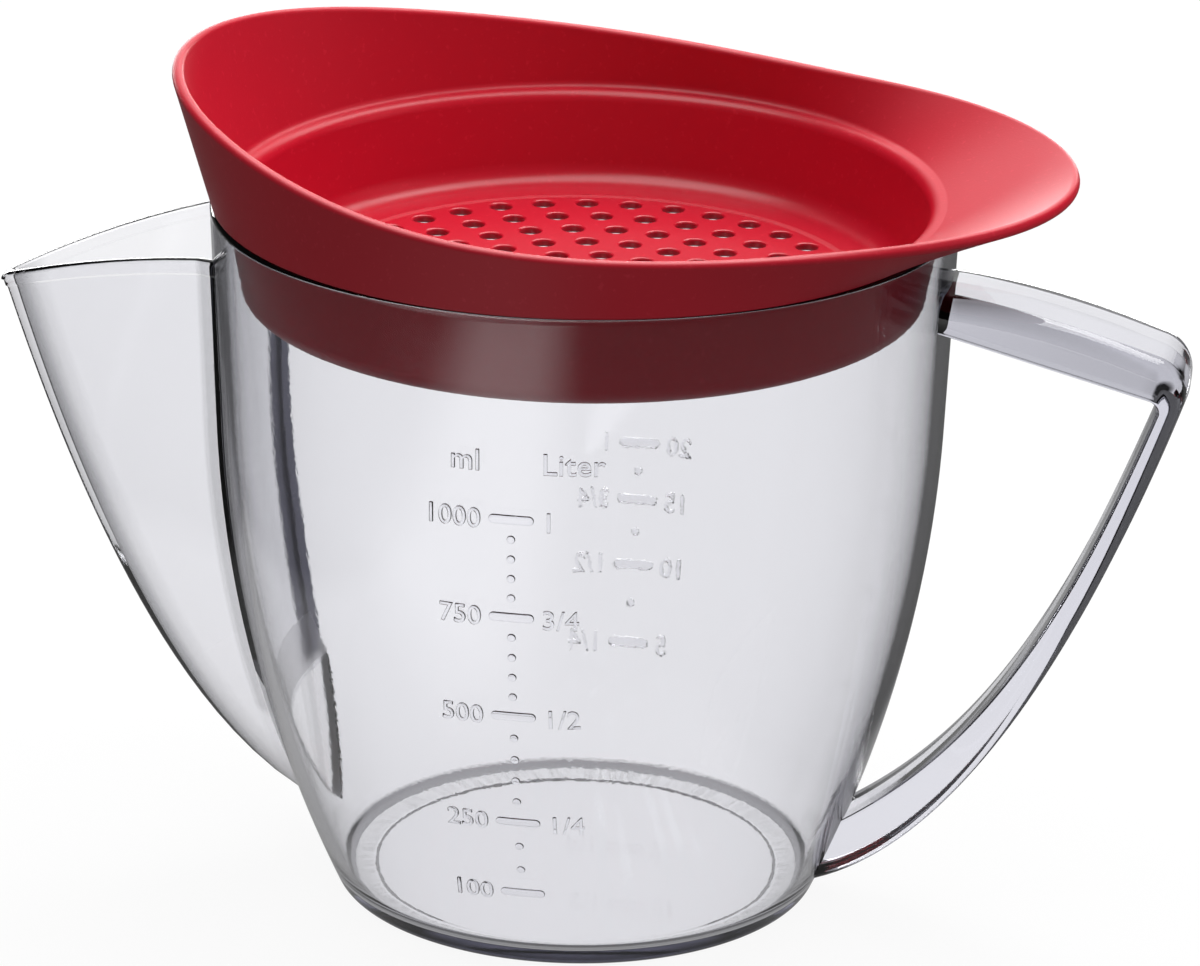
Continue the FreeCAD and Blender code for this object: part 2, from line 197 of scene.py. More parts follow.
def loft(name: str, rings: Sequence[Sequence[Vector]]) -> bpy.types.Object:
    """A closed mesh through rings of points: a circle is extruded, and each ring is laid in place.

    Args:
        name: The new object's name.
        rings: Rings with equally many points, in order along the piece.

    Returns:
        The new object, with both ends filled and its faces pointing outwards.
    """
    deselect_all()
    bpy.ops.mesh.primitive_circle_add(vertices=len(rings[0]), radius=MM, fill_type="NOTHING")
    piece = bpy.context.active_object
    piece.name = name
    bpy.ops.object.mode_set(mode="EDIT")
    mesh = bmesh.from_edit_mesh(piece.data)
    place = mesh.verts.layers.int.new("place")
    for index, vert in enumerate(mesh.verts):
        vert[place] = index
    for number, ring in enumerate(rings):
        if number:
            bpy.ops.mesh.extrude_edges_move()
        mesh = bmesh.from_edit_mesh(piece.data)
        place = mesh.verts.layers.int["place"]
        for vert in mesh.verts:
            if vert.select:
                vert.co = ring[vert[place]]
    bmesh.update_edit_mesh(piece.data)
    bpy.ops.mesh.edge_face_add()
    bpy.ops.mesh.select_all(action="DESELECT")
    bpy.ops.mesh.select_non_manifold()
    bpy.ops.mesh.edge_face_add()
    bpy.ops.mesh.select_all(action="SELECT")
    bpy.ops.mesh.normals_make_consistent(inside=False)
    bpy.ops.object.mode_set(mode="OBJECT")
    piece.data.attributes.remove(piece.data.attributes["place"])
    return piece


def spread(start: float, end: float, steps: int) -> list[float]:
    """Numbers from start to end in equal steps, both included."""
    return [start + (end - start) * i / steps for i in range(steps + 1)]


def around(radius: float, bearing: float, height: float) -> Vector:
    """The point at a distance and a bearing in radians about the jug's axis."""
    return Vector((radius * math.cos(bearing), radius * math.sin(bearing), height))


def ring_at(radius: float, height: float, steps: int = ROUND_STEPS) -> list[Vector]:
    """A level ring of points about the jug's axis.

    Args:
        radius: The ring's radius.
        height: Its height.
        steps: How many points it has.

    Returns:
        The points, anticlockwise from +X.
    """
    turn = 2 * math.pi / steps
    return [around(radius, turn * i, height) for i in range(steps)]


def revolve(name: str, profile: Sequence[Vector]) -> bpy.types.Object:
    """A closed round mesh from its half outline.

    Args:
        name: The new object's name.
        profile: Points with the radius as x and the height as y, from one flat end to the other.

    Returns:
        The new object.
    """
    return loft(name, [ring_at(point.x, point.y) for point in profile])


@dataclass(frozen=True)
class Corner:
    """A corner of an outline, with the radius of its rounding."""

    across: float
    height: float
    radius: float = 0.0

    def point(self) -> Vector:
        """The corner before it is rounded."""
        return Vector((self.across, self.height))


def rounded(corners: Sequence[Corner], steps: int = 8, support: float = 0.2 * MM) -> list[Vector]:
    """An open outline with its corners rounded by arcs.

    Args:
        corners: The outline's corners, the first and last of them its ends.
        steps: How many segments an arc has.
        support: How far past each arc a further point keeps the flat beside it flat.

    Returns:
        The outline's points, equally many for equally many corners.
    """
    points = [corners[0].point()]
    for before, corner, after in zip(corners, corners[1:], corners[2:]):
        centre = corner.point()
        if not corner.radius:
            points.append(centre)
            continue
        back = (before.point() - centre).normalized()
        forward = (after.point() - centre).normalized()
        half_turn = (math.pi - back.angle(forward)) / 2
        reach = corner.radius * math.tan(half_turn)
        points.append(centre + back * (reach + support))
        points += arc(centre + back * reach, centre, centre + forward * reach, steps)
        points.append(centre + forward * (reach + support))
    points.append(corners[-1].point())
    return points


def arc(start: Vector, corner: Vector, end: Vector, steps: int) -> list[Vector]:
    """A rounding between two lines that meet in a corner, as far from it along both.

    Args:
        start: Where the arc leaves the first line.
        corner: Where the lines meet.
        end: Where the arc joins the second line.
        steps: How many segments it has.

    Returns:
        Points along the arc, both ends included.
    """
    weight = math.sin((start - corner).angle(end - corner) / 2)
    points = []
    for i in range(steps + 1):
        t = i / steps
        a, b, c = (1 - t) ** 2, 2 * weight * t * (1 - t), t * t
        points.append((start * a + corner * b + end * c) / (a + b + c))
    return points


def crowned(start: Vector, end: Vector, crown: float, t: float) -> Vector:
    """A point on a shallow arch between two points, as a parabola.

    Args:
        start: Where the arch begins.
        end: Where it ends.
        crown: Its height above the straight line, upwards, at the middle.
        t: How far along the point lies, from 0 to 1.

    Returns:
        The point.
    """
    return start.lerp(end, t) + Vector((0, 4 * crown * t * (1 - t)))


def heading(degrees_from_down: float) -> Vector:
    """A direction in the XZ plane that leans from straight down towards the axis."""
    angle = math.radians(degrees_from_down)
    return Vector((-math.sin(angle), -math.cos(angle)))


# --- Materials ---

# What a socket is given: a plain value, a node for its first output, or a node and its output's name.
Feed = float | Sequence[float] | bpy.types.Node | tuple[bpy.types.Node, str]


def feed(tree: bpy.types.NodeTree, node: bpy.types.Node, feeds: dict[str | int, Feed]) -> None:
    """Gives a node's inputs their plain values and links.

    Args:
        tree: The node tree that holds the node.
        node: The node.
        feeds: What each input gets, by the input's name or number.
    """
    for name, value in feeds.items():
        if isinstance(value, bpy.types.Node):
            tree.links.new(value.outputs[0], node.inputs[name])
        elif isinstance(value, tuple) and isinstance(value[0], bpy.types.Node):
            tree.links.new(value[0].outputs[value[1]], node.inputs[name])
        else:
            node.inputs[name].default_value = value


def add_node(
    tree: bpy.types.NodeTree, kind: str, feeds: dict[str | int, Feed] | None = None, **settings: object
) -> bpy.types.Node:
    """Adds a shader node.

    Args:
        tree: The node tree that gets the node.
        kind: The node's type, without ShaderNode.
        feeds: What each input gets, by the input's name or number.
        settings: The node's own choices, such as its operation.

    Returns:
        The node.
    """
    node = tree.nodes.new("ShaderNode" + kind)
    for name, choice in settings.items():
        setattr(node, name, choice)
    feed(tree, node, feeds or {})
    return node


def maths(tree: bpy.types.NodeTree, operation: str, first: Feed, second: Feed = 0.0) -> bpy.types.Node:
    """Adds one step of arithmetic.

    Args:
        tree: The node tree that gets the node.
        operation: Blender's name for what it does.
        first: The first value.
        second: The second value, where it has one.

    Returns:
        The node.
    """
    return add_node(tree, "Math", {0: first, 1: second}, operation=operation)


def ramp(
    tree: bpy.types.NodeTree,
    source: Feed,
    start: float,
    end: float,
    low: float = 0.0,
    high: float = 1.0,
    ease: Ease = Ease.EVEN,
) -> bpy.types.Node:
    """Adds a value that goes from low to high as another goes from start to end, and is level beyond.

    Args:
        tree: The node tree that gets the node.
        source: The other value.
        start: Where the change begins.
        end: Where it ends.
        low: The value up to the start.
        high: The value past the end.
        ease: How it changes between them.

    Returns:
        The node.
    """
    feeds = {"Value": source, "From Min": start, "From Max": end, "To Min": low, "To Max": high}
    return add_node(tree, "MapRange", feeds, interpolation_type=ease.value)


def mix(
    tree: bpy.types.NodeTree, share: Feed, first: Feed, second: Feed, kind: Blend = Blend.VALUES
) -> tuple[bpy.types.Node, str]:
    """Adds a blend of two values or colours.

    Args:
        tree: The node tree that gets the node.
        share: The second one's share.
        first: The first value.
        second: The second value.
        kind: What they are.

    Returns:
        The node and its output's name.
    """
    return add_node(tree, "Mix", {"Factor": share, "A": first, "B": second}, data_type=kind.value), "Result"


def object_place(tree: bpy.types.NodeTree) -> tuple[Feed, ...]:
    """Adds the place on the object.

    Args:
        tree: The node tree that gets the nodes.

    Returns:
        The place's X, Y and Z, and its distance from the jug's axis.
    """
    split = add_node(tree, "SeparateXYZ", {"Vector": (add_node(tree, "TexCoord"), "Object")})
    flat = add_node(tree, "CombineXYZ", {"X": (split, "X"), "Y": (split, "Y")})
    radius = add_node(tree, "VectorMath", {0: flat}, operation="LENGTH")
    return (split, "X"), (split, "Y"), (split, "Z"), (radius, "Value")


def new_material(name: str) -> tuple[bpy.types.Material, bpy.types.Node, bpy.types.Node]:
    """A material that holds a Principled shader.

    Args:
        name: The material's name.

    Returns:
        The material, its Principled shader and its output node.
    """
    material = bpy.data.materials.new(name)
    material.use_nodes = True
    nodes = material.node_tree.nodes
    return material, nodes["Principled BSDF"], nodes["Material Output"]


@dataclass(frozen=True)
class MouldedGrain:
    """A moulded surface: fine grain, slow waviness and a few worn specks."""

    grain: float                      # the grain's size, in 1/m
    flow: float                       # the waves' size, in 1/m
    flow_share: float                 # the waves' share of the height
    grain_detail: float = 3.0
    flow_detail: float = 1.0
    speck_size: float = 900.0         # in 1/m
    speck_start: float = 0.62         # the noise's level at a speck's edge
    speck_full: float = 0.75          # and where it is fully worn

    def group(self) -> bpy.types.NodeTree:
        """The node group that every moulded plastic shares.

        Returns:
            The group, made once, with this surface's details.
        """
        name = "moulded_grain"
        if name in bpy.data.node_groups:
            return bpy.data.node_groups[name]
        group = bpy.data.node_groups.new(name, "ShaderNodeTree")
        for label in ("Grain", "Flow", "Flow Share"):
            group.interface.new_socket(label, in_out="INPUT", socket_type="NodeSocketFloat")
        for label in ("Height", "Specks"):
            group.interface.new_socket(label, in_out="OUTPUT", socket_type="NodeSocketFloat")
        entry, leave = group.nodes.new("NodeGroupInput"), group.nodes.new("NodeGroupOutput")
        place = (add_node(group, "TexCoord"), "Object")
        grain = {"Vector": place, "Scale": (entry, "Grain"), "Detail": self.grain_detail}
        flow = {"Vector": place, "Scale": (entry, "Flow"), "Detail": self.flow_detail}
        specks = {"Vector": place, "Scale": self.speck_size}
        fine, slow, worn = ((add_node(group, "TexNoise", feeds), "Fac") for feeds in (grain, flow, specks))
        feed(group, leave, {
            "Height": mix(group, (entry, "Flow Share"), fine, slow),
            "Specks": ramp(group, worn, self.speck_start, self.speck_full),
        })
        return group

    def place(self, tree: bpy.types.NodeTree) -> bpy.types.Node:
        """Adds the group to a material, with this surface's own values."""
        values = {"Grain": self.grain, "Flow": self.flow, "Flow Share": self.flow_share}
        return add_node(tree, "Group", values, node_tree=self.group())


@dataclass(frozen=True)
class ClearPlastic:
    """Clear styrene plastic: glossy, with a faint cool tint that gathers where it is thick, and painted dark
    shade at the spout's roots, along its keel and in the foot ring.
    """

    name: str = "clear_plastic"
    refraction: float = 1.56
    tint: tuple[float, float, float] = (0.985, 0.985, 1.0)
    body_tint: tuple[float, float, float] = (0.62, 0.62, 0.72)
    body_density: float = 42.0        # how fast the tint gathers, in 1/m
    gloss: float = 0.012              # roughness of a clean face
    scuffed: float = 0.06             # roughness of a worn speck
    waviness: float = 0.02            # strength of the moulding's slow waves
    grain: MouldedGrain = MouldedGrain(900.0, 45.0, 0.85)
    # painted shade: a near-black colour laid on the spout's roots, along its keel and in the foot ring,
    # standing in for the dark that refraction shows there
    root_shade_colour: tuple[float, float, float] = (0.012, 0.012, 0.020)
    root_matte: float = 0.45          # roughness where the spout's walls grow out of the bowl
    root_reach: float = 2.6 * MM      # how far out from the bowl the painted shade at the root goes
    root_blur: float = 0.5 * MM
    root_rise: tuple[float, float] = (31.0 * MM, 33.0 * MM)   # the heights where the painted shade comes to full strength
    low_shade: float = 0.25            # share of the painted shade below them
    front_shade: float = 0.30          # share of the painted shade in the root that faces the front
    skin: tuple[float, float] = (0.05 * MM, 0.15 * MM)        # the bowl's own face keeps clear of the painted shade to here
    spout_start: float = -30.0 * MM   # the X where the spout's side begins
    keel_shade: float = 0.55           # share of the painted shade laid along the spout's solid keel
    keel_width: float = 3.4 * MM
    foot_shade: float = 0.85           # share of the painted shade in the solid foot ring
    foot_depth: float = 3.0 * MM
    foot_width: float = 6.0 * MM
    bowl_wall: float = BOWL_WALL
    wall_skin: float = 0.1 * MM       # the wall's faces keep their gloss to here
    window_low: float = 5.0 * MM      # the window's cut edges are matt between these heights
    window_top: float = 42.0 * MM

    def material(self, shape: "BowlShape") -> bpy.types.Material:
        """The finished material.

        Args:
            shape: The bowl's outer surface, from which the spout's walls grow.

        Returns:
            The material.
        """
        material, shader, output = new_material(self.name)
        tree = material.node_tree
        painted_shade, matt = self._masks(tree, shape)
        grain = self.grain.place(tree)
        rough = ramp(tree, (grain, "Specks"), 0.0, 1.0, self.gloss, self.scuffed)
        waves = {"Strength": self.waviness, "Distance": MM, "Height": (grain, "Height")}
        body = {"Color": (*self.body_tint, 1), "Density": self.body_density}
        feed(tree, shader, {
            "Transmission Weight": 1.0,
            "IOR": self.refraction,
            # Base Color: the clear tint, turning to near-black painted shade where the mask says
            "Base Color": mix(tree, painted_shade, (*self.tint, 1), (*self.root_shade_colour, 1), Blend.COLOURS),
            "Roughness": mix(tree, matt, rough, self.root_matte),
            "Normal": add_node(tree, "Bump", waves),
        })
        feed(tree, output, {"Volume": add_node(tree, "VolumeAbsorption", body)})
        return material

    def _outside(
        self, tree: bpy.types.NodeTree, shape: "BowlShape", radius: Feed, height: Feed
    ) -> bpy.types.Node:
        """Adds the distance that a place lies outside the bowl, level with it.

        Args:
            tree: The node tree that gets the nodes.
            shape: The bowl's outer surface.
            radius: The place's distance from the axis.
            height: Its height.

        Returns:
            The node.
        """
        step = partial(maths, tree)
        (centre, arc_radius), belly = shape.side_circle(), shape.belly()
        low = step("SUBTRACT", step("MINIMUM", height, belly.y), centre.y)
        curved = step("SQRT", step("SUBTRACT", arc_radius**2, step("MULTIPLY", low, low)))
        above = step("MAXIMUM", step("SUBTRACT", height, belly.y), 0.0)
        draft = step("MULTIPLY", above, shape.draft_slope())
        return step("SUBTRACT", radius, step("ADD", step("ADD", curved, centre.x), draft))

    def _masks(
        self, tree: bpy.types.NodeTree, shape: "BowlShape"
    ) -> tuple[bpy.types.Node, bpy.types.Node]:
        """Adds masks of the painted shade at the spout's roots, along its keel and in the foot ring, and of
        the places where the mould's steel was left matt.

        Args:
            tree: The node tree that gets the nodes.
            shape: The bowl's outer surface.

        Returns:
            The node with the painted shade's share, and the node with the matt finish's share.
        """
        step, fade = partial(maths, tree), partial(ramp, tree)
        x, y, z, radius = object_place(tree)
        outside = self._outside(tree, shape, radius, z)
        spout_side = step("LESS_THAN", x, self.spout_start)
        # painted shade at the spout's roots and along its keel, standing in for the dark that refraction
        # shows there
        near = fade(outside, self.root_reach, self.root_reach - self.root_blur)
        risen = fade(z, *self.root_rise, self.low_shade)
        facing = step("MAXIMUM", step("GREATER_THAN", y, 0.0), self.front_shade)
        roots = step("MULTIPLY", step("MULTIPLY", near, risen), facing)
        keel = fade(step("ABSOLUTE", y), self.keel_width, self.keel_width / 4, 0.0, self.keel_shade)
        spout = step("MULTIPLY", step("MAXIMUM", roots, keel), spout_side)
        painted_shade = step("MULTIPLY", spout, fade(outside, *self.skin))
        # painted shade in the foot ring
        ring = step("GREATER_THAN", radius, shape.foot().x - self.foot_width)
        foot = step("MULTIPLY", ring, fade(z, self.foot_depth, self.foot_depth - MM, 0.0, self.foot_shade))
        inner, outer = self.wall_skin - self.bowl_wall, -self.wall_skin
        within = step("MULTIPLY", step("LESS_THAN", outside, outer), step("GREATER_THAN", outside, inner))
        below, above = step("LESS_THAN", z, self.window_top), step("GREATER_THAN", z, self.window_low)
        band = step("MULTIPLY", below, above)
        edges = step("MULTIPLY", step("MULTIPLY", within, band), spout_side)
        return step("MAXIMUM", painted_shade, foot), step("MAXIMUM", edges, step("MULTIPLY", roots, painted_shade))


@dataclass(frozen=True)
class SatinPlastic:
    """Opaque red plastic: fine-grained outside, polished inside the basin."""

    name: str = "red_satin_plastic"
    refraction: float = 1.5
    colour: tuple[float, float, float] = (0.50, 0.006, 0.022)
    worn_colour: tuple[float, float, float] = (0.56, 0.015, 0.035)
    grained: float = 0.42             # roughness of the grained faces
    polished: float = 0.30            # roughness inside the basin
    grain: MouldedGrain = MouldedGrain(2600.0, 70.0, 0.1)
    grain_strength: float = 0.10
    grain_height: float = 0.2 * MM
    basin_radius: float = 64.0 * MM
    basin_top: float = 132.5 * MM
    blend_width: float = 1.0 * MM

    def material(self) -> bpy.types.Material:
        """The finished material.

        Returns:
            The material.
        """
        material, shader, _ = new_material(self.name)
        tree = material.node_tree
        _, _, z, radius = object_place(tree)
        near_axis = ramp(tree, radius, self.basin_radius, self.basin_radius - self.blend_width)
        below = ramp(tree, z, self.basin_top, self.basin_top - self.blend_width)
        inside = maths(tree, "MULTIPLY", near_axis, below)
        grain, plain, worn = self.grain.place(tree), (*self.colour, 1), (*self.worn_colour, 1)
        relief = maths(tree, "MULTIPLY", (grain, "Height"), ramp(tree, inside, 0.0, 1.0, 1.0, 0.0))
        bump = {"Strength": self.grain_strength, "Distance": self.grain_height, "Height": relief}
        feed(tree, shader, {
            "IOR": self.refraction,
            "Base Color": mix(tree, (grain, "Specks"), plain, worn, Blend.COLOURS),
            "Roughness": ramp(tree, inside, 0.0, 1.0, self.grained, self.polished),
            "Normal": add_node(tree, "Bump", bump),
        })
        return material


# --- The jug ---


@dataclass(frozen=True)
class BowlShape:
    """The bowl's outer surface: a straight draft above a round belly."""

    rim_radius: float
    height: float
    draft_depth: float = 41.35 * MM
    draft_inset: float = 1.65 * MM
    foot_inset: float = 23.4 * MM

    def belly(self) -> Vector:
        """Where the straight draft turns into the curved side."""
        return Vector((self.rim_radius - self.draft_inset, self.height - self.draft_depth))

    def foot(self) -> Vector:
        """Where the curved side would meet the table."""
        return Vector((self.rim_radius - self.foot_inset, 0))

    def along(self) -> Vector:
        """The straight draft's direction, upwards."""
        return Vector((self.draft_inset, self.draft_depth)).normalized()

    def draft_slope(self) -> float:
        """How much the radius grows for each metre up the draft."""
        return self.draft_inset / self.draft_depth

    def side_circle(self) -> tuple[Vector, float]:
        """The circle that the curved side follows.

        Returns:
            Its centre and its radius.
        """
        belly, along = self.belly(), self.along()
        inward = Vector((-along.y, along.x))
        chord = belly - self.foot()
        arc_radius = -chord.length_squared / (2 * chord.dot(inward))
        return belly + inward * arc_radius, arc_radius

    def radius(self, height: float, inset: float = 0.0) -> float:
        """The radius at a height, on a surface that lies some way inside the outer one.

        Args:
            height: The height above the table.
            inset: How far inside the outer surface.

        Returns:
            The radius there.
        """
        belly, along = self.belly(), self.along()
        centre, arc_radius = self.side_circle()
        if height > belly.y + inset * along.x:
            return belly.x + (height - belly.y) * along.x / along.y - inset / along.y
        return centre.x + math.sqrt((arc_radius - inset) ** 2 - (height - centre.y) ** 2)

    def side(self, low: float, high: float, inset: float, steps: int) -> list[Vector]:
        """Points up the side from one height to another.

        Args:
            low: The first point's height.
            high: The last point's height.
            inset: How far inside the outer surface.
            steps: How many segments.

        Returns:
            The points, with the radius as x.
        """
        return [Vector((self.radius(z, inset), z)) for z in spread(low, high, steps)]


@dataclass
class Bowl:
    """The round body: its outer form, and the space inside that is cut from it."""

    shape: BowlShape
    wall: float = BOWL_WALL
    floor_top: float = 3.2 * MM
    floor_corner: float = 4.0 * MM
    heel_radius: float = 2.5 * MM
    foot_ring_width: float = 4.5 * MM
    recess_depth: float = 0.8 * MM
    edge_radius: float = 0.45 * MM
    rim_edge: float = 1.1 * MM         # rounding of the rim's outer edge
    side_steps: int = 40
    corner_steps: int = 12
    clearance: float = 8.0 * MM        # how far the cavity's tool runs on above the rim

    def blank(self) -> bpy.types.Object:
        """The outer form, filled, with its foot ring and the hollow under it.

        Returns:
            The form's object.
        """
        shape, edge = self.shape, self.edge_radius
        lean = (Vector((shape.radius(self.heel_radius), self.heel_radius)) - shape.foot()).normalized()
        recess = shape.foot().x - self.heel_radius - self.foot_ring_width
        heel_top = shape.foot() + lean * 3 * self.heel_radius
        under = rounded([
            Corner(recess / 2, self.recess_depth),
            Corner(recess, self.recess_depth, edge / 2),
            Corner(recess + edge, 0, edge / 2),
            Corner(shape.foot().x, 0, self.heel_radius),
            Corner(heel_top.x, heel_top.y),
        ])[:-1]
        side = shape.side(under[-1].y + MM, shape.height - 3 * edge, 0, self.side_steps)
        rim = rounded([
            Corner(side[-1].x, side[-1].y),
            Corner(shape.rim_radius, shape.height, self.rim_edge),
            Corner(shape.rim_radius - self.wall / 2, shape.height),
        ])[1:]
        return revolve("jug", under + side + rim)

    def cavity(self) -> bpy.types.Object:
        """The space inside, flared at the rim so that the inner edge is rounded.

        Returns:
            The object to cut out.
        """
        shape, edge, wall = self.shape, self.edge_radius, self.wall
        knee = self.floor_top + 2 * self.floor_corner
        floor = rounded([
            Corner(shape.foot().x / 2, self.floor_top),
            Corner(shape.radius(self.floor_top, wall), self.floor_top, self.floor_corner),
            Corner(shape.radius(knee, wall), knee),
        ], steps=self.corner_steps)[:-2]
        side = shape.side(floor[-1].y + MM / 2, shape.height - 3 * edge, wall, self.side_steps)
        inner = shape.radius(shape.height, wall)
        above = shape.height + edge
        flare = rounded([
            Corner(side[-1].x, side[-1].y),
            Corner(inner, shape.height, edge),
            Corner(inner + wall / 4, shape.height + edge / 2),
        ])[1:-1]
        top = [Vector((flare[-1].x, above)), Vector((flare[-1].x, shape.height + self.clearance))]
        return revolve("cavity", floor + side + flare + top)


@dataclass
class Spout:
    """The V-shaped trough that leaves the bowl low down and rises to a pointed lip."""

    shape: BowlShape
    tip: Vector                        # the keel's top, with distance from the axis as x
    root_height: float = 9.5 * MM
    tip_lean: float = 17.4
    tip_pull: float = 39.8 * MM
    root_rise: float = 23.5
    root_pull: float = 31.6 * MM
    half_angle: float = 24.0
    angle_gain: float = 160.0          # degrees wider for each metre further down
    nose_radius: float = 2.2 * MM
    channel_radius: float = 0.8 * MM
    wall: float = 2.0 * MM
    bowl_wall: float = BOWL_WALL
    rim_drop: float = 9.95 * MM
    rim_crown: float = 1.6 * MM
    bulge: float = 1.0 * MM            # how far its sides bulge near the top
    bulge_from: float = 50.0 * MM      # the height where the bulge starts
    lip_band: float = 2.9 * MM         # depth of the thicker band along the top edge
    lip_step: float = 0.3 * MM         # how far it stands out
    lip_levels: tuple[float, ...] = (0.85, 0.65, 0.45)   # its face's points, as shares of its depth
    lip_steps: int = 6                 # segments of each half of the top edge's rounding
    start_drop: float = 5.0 * MM       # how far below the root its walls begin
    side_run: float = 5.0 * MM         # how far its flat sides run back at least
    window_top: float = 32.0 * MM
    window_low: float = 3.4 * MM
    window_slant: float = 9.0 * MM     # how much higher the window is on the bowl's outside
    window_levels: int = 10
    window_spare: float = 2.0 * MM     # how far the window's tool runs on above its top
    levels: int = 30
    nose_share: float = 0.2            # share of the V's stations that lie round the keel
    side_steps: int = 14
    nose_steps: int = 10
    first_side: float = 0.004          # the first station beside the keel, which keeps the side flat
    crowding: float = 1.3              # how much closer together the stations lie towards the keel
    fit_rounds: int = 12               # rounds that bring a point to its depth below the top edge
    fit: float = 1e-7                  # how closely a place on the keel's curve is found

    def keel(self, height: float) -> float:
        """The keel's line.

        Args:
            height: The height above the table.

        Returns:
            The keel's distance from the axis there.
        """
        root = Vector((self.shape.radius(self.root_height), self.root_height))
        if height >= self.tip.y:
            return self.tip.x + (height - self.tip.y) * math.tan(math.radians(self.tip_lean))
        if height <= root.y:
            return root.x - (root.y - height) / math.tan(math.radians(self.root_rise))
        rise = math.radians(self.root_rise)
        poles = (
            self.tip,
            self.tip + heading(self.tip_lean) * self.tip_pull,
            root + Vector((math.cos(rise), math.sin(rise))) * self.root_pull,
            root,
        )
        low, high = 0.0, 1.0
        while high - low > self.fit:
            middle = (low + high) / 2
            if bezier(poles, middle).y > height:
                low = middle
            else:
                high = middle
        return bezier(poles, low).x

    def path_point(self, station: float, height: float, inset: float, nose: float) -> Vector:
        """A point on the trough's V at a height.

        Args:
            station: From -1 at the bowl through 0 on the keel to 1 at the bowl again.
            height: The height above the table.
            inset: How far inside the outer surface.
            nose: The rounding radius on the keel.

        Returns:
            The point.
        """
        angle = math.radians(self.half_angle + self.angle_gain * (self.tip.y - height))
        sharp = self.keel(height) + (self.nose_radius - inset) / math.sin(angle) - self.nose_radius
        centre = sharp - nose / math.sin(angle)
        share, side = abs(station), math.copysign(1, station)
        turn = math.pi / 2 - angle
        if share <= self.nose_share:
            bearing = turn * share / self.nose_share
            across, reach = nose * math.sin(bearing), centre + nose * math.cos(bearing)
        else:
            touch = Vector((centre + nose * math.sin(angle), nose * math.cos(angle)))
            run = (share - self.nose_share) / (1 - self.nose_share)
            back = min(self.shape.radius(height) / 2, touch.x - self.side_run)
            reach = touch.x + (back - touch.x) * run
            across = touch.y + (touch.x - reach) * math.tan(angle)
            t = clamped((touch.x - reach) / (touch.x - self.shape.radius(height)))
            rise = clamped((height - self.bulge_from) / (self.tip.y - self.bulge_from))
            across += self.bulge * 4 * t * (1 - t) * rise * rise * (3 - 2 * rise)
        return Vector((-reach, side * across, height))

    def rim_height(self, reach: float) -> float:
        """The crowned top edge.

        Args:
            reach: The distance from the axis.

        Returns:
            The edge's height there.
        """
        root_z = self.shape.height - self.rim_drop
        root_x = self.shape.radius(root_z, self.bowl_wall)
        t = (self.tip.x - reach) / (self.tip.x - root_x)
        if t >= 1:
            return root_z
        arch = 4 * self.rim_crown * t * (1 - t)
        return self.tip.y + (root_z - self.tip.y) * t + arch

    def top_at(self, station: float, inset: float, nose: float, drop: float) -> Vector:
        """The point of the V at a depth below the top edge.

        Args:
            station: From -1 at the bowl through 0 on the keel to 1 at the bowl again.
            inset: How far inside the outer surface.
            nose: The rounding radius on the keel.
            drop: The depth below the top edge.

        Returns:
            The point.
        """
        height = self.tip.y
        for _ in range(self.fit_rounds):
            point = self.path_point(station, height, inset, nose)
            height = self.rim_height(-point.x) - drop
        return self.path_point(station, height, inset, nose)

    def trough(self) -> bpy.types.Object:
        """The thin wall of the V, its top edge rounded and banded.

        Returns:
            The wall's object.
        """
        return loft("trough", [self._wall_section(station) for station in self.stations()])

    def _wall_section(self, station: float) -> list[Vector]:
        """The wall's section at a station.

        Args:
            station: From -1 at the bowl through 0 on the keel to 1 at the bowl again.

        Returns:
            Its points, up the outside, over the top edge and down the inside.
        """
        lip, low, last = self.wall / 2, self.root_height - self.start_drop, self.levels - 1
        band_foot = self.top_at(station, 0, self.nose_radius, self.lip_band).z
        points = [self.path_point(station, z, 0, self.nose_radius) for z in spread(low, band_foot, last)]
        outset, nose = -self.lip_step, self.nose_radius + self.lip_step
        points += [self.top_at(station, outset, nose, self.lip_band * share) for share in self.lip_levels]
        turns = spread(0, math.pi / 2, self.lip_steps)
        over = [(outset + lip * (1 - math.cos(turn)), lip * (1 - math.sin(turn))) for turn in turns]
        over += [(self.wall - lip * (1 - math.sin(turn)), lip * (1 - math.cos(turn))) for turn in turns[1:]]
        points += [self.top_at(station, inset, self.blended_nose(inset), drop) for inset, drop in over]
        inside = spread(self.top_at(station, self.wall, self.channel_radius, lip + MM / 2).z, low, last)
        return points + [self.path_point(station, z, self.wall, self.channel_radius) for z in inside]

    def blended_nose(self, inset: float) -> float:
        """The keel's rounding radius between the outer surface and the channel."""
        return self.nose_radius + (self.channel_radius - self.nose_radius) * clamped(inset / self.wall)

    def stations(self) -> list[float]:
        """The V's stations, close together round the keel.

        Returns:
            Numbers from -1 at the bowl through 0 on the keel to 1 at the bowl again.
        """
        half = spread(0, self.nose_share, self.nose_steps)
        shares = [(i / self.side_steps) ** self.crowding for i in range(1, self.side_steps + 1)]
        half += [self.nose_share + (1 - self.nose_share) * share for share in [self.first_side] + shares]
        return [-s for s in reversed(half[1:])] + half

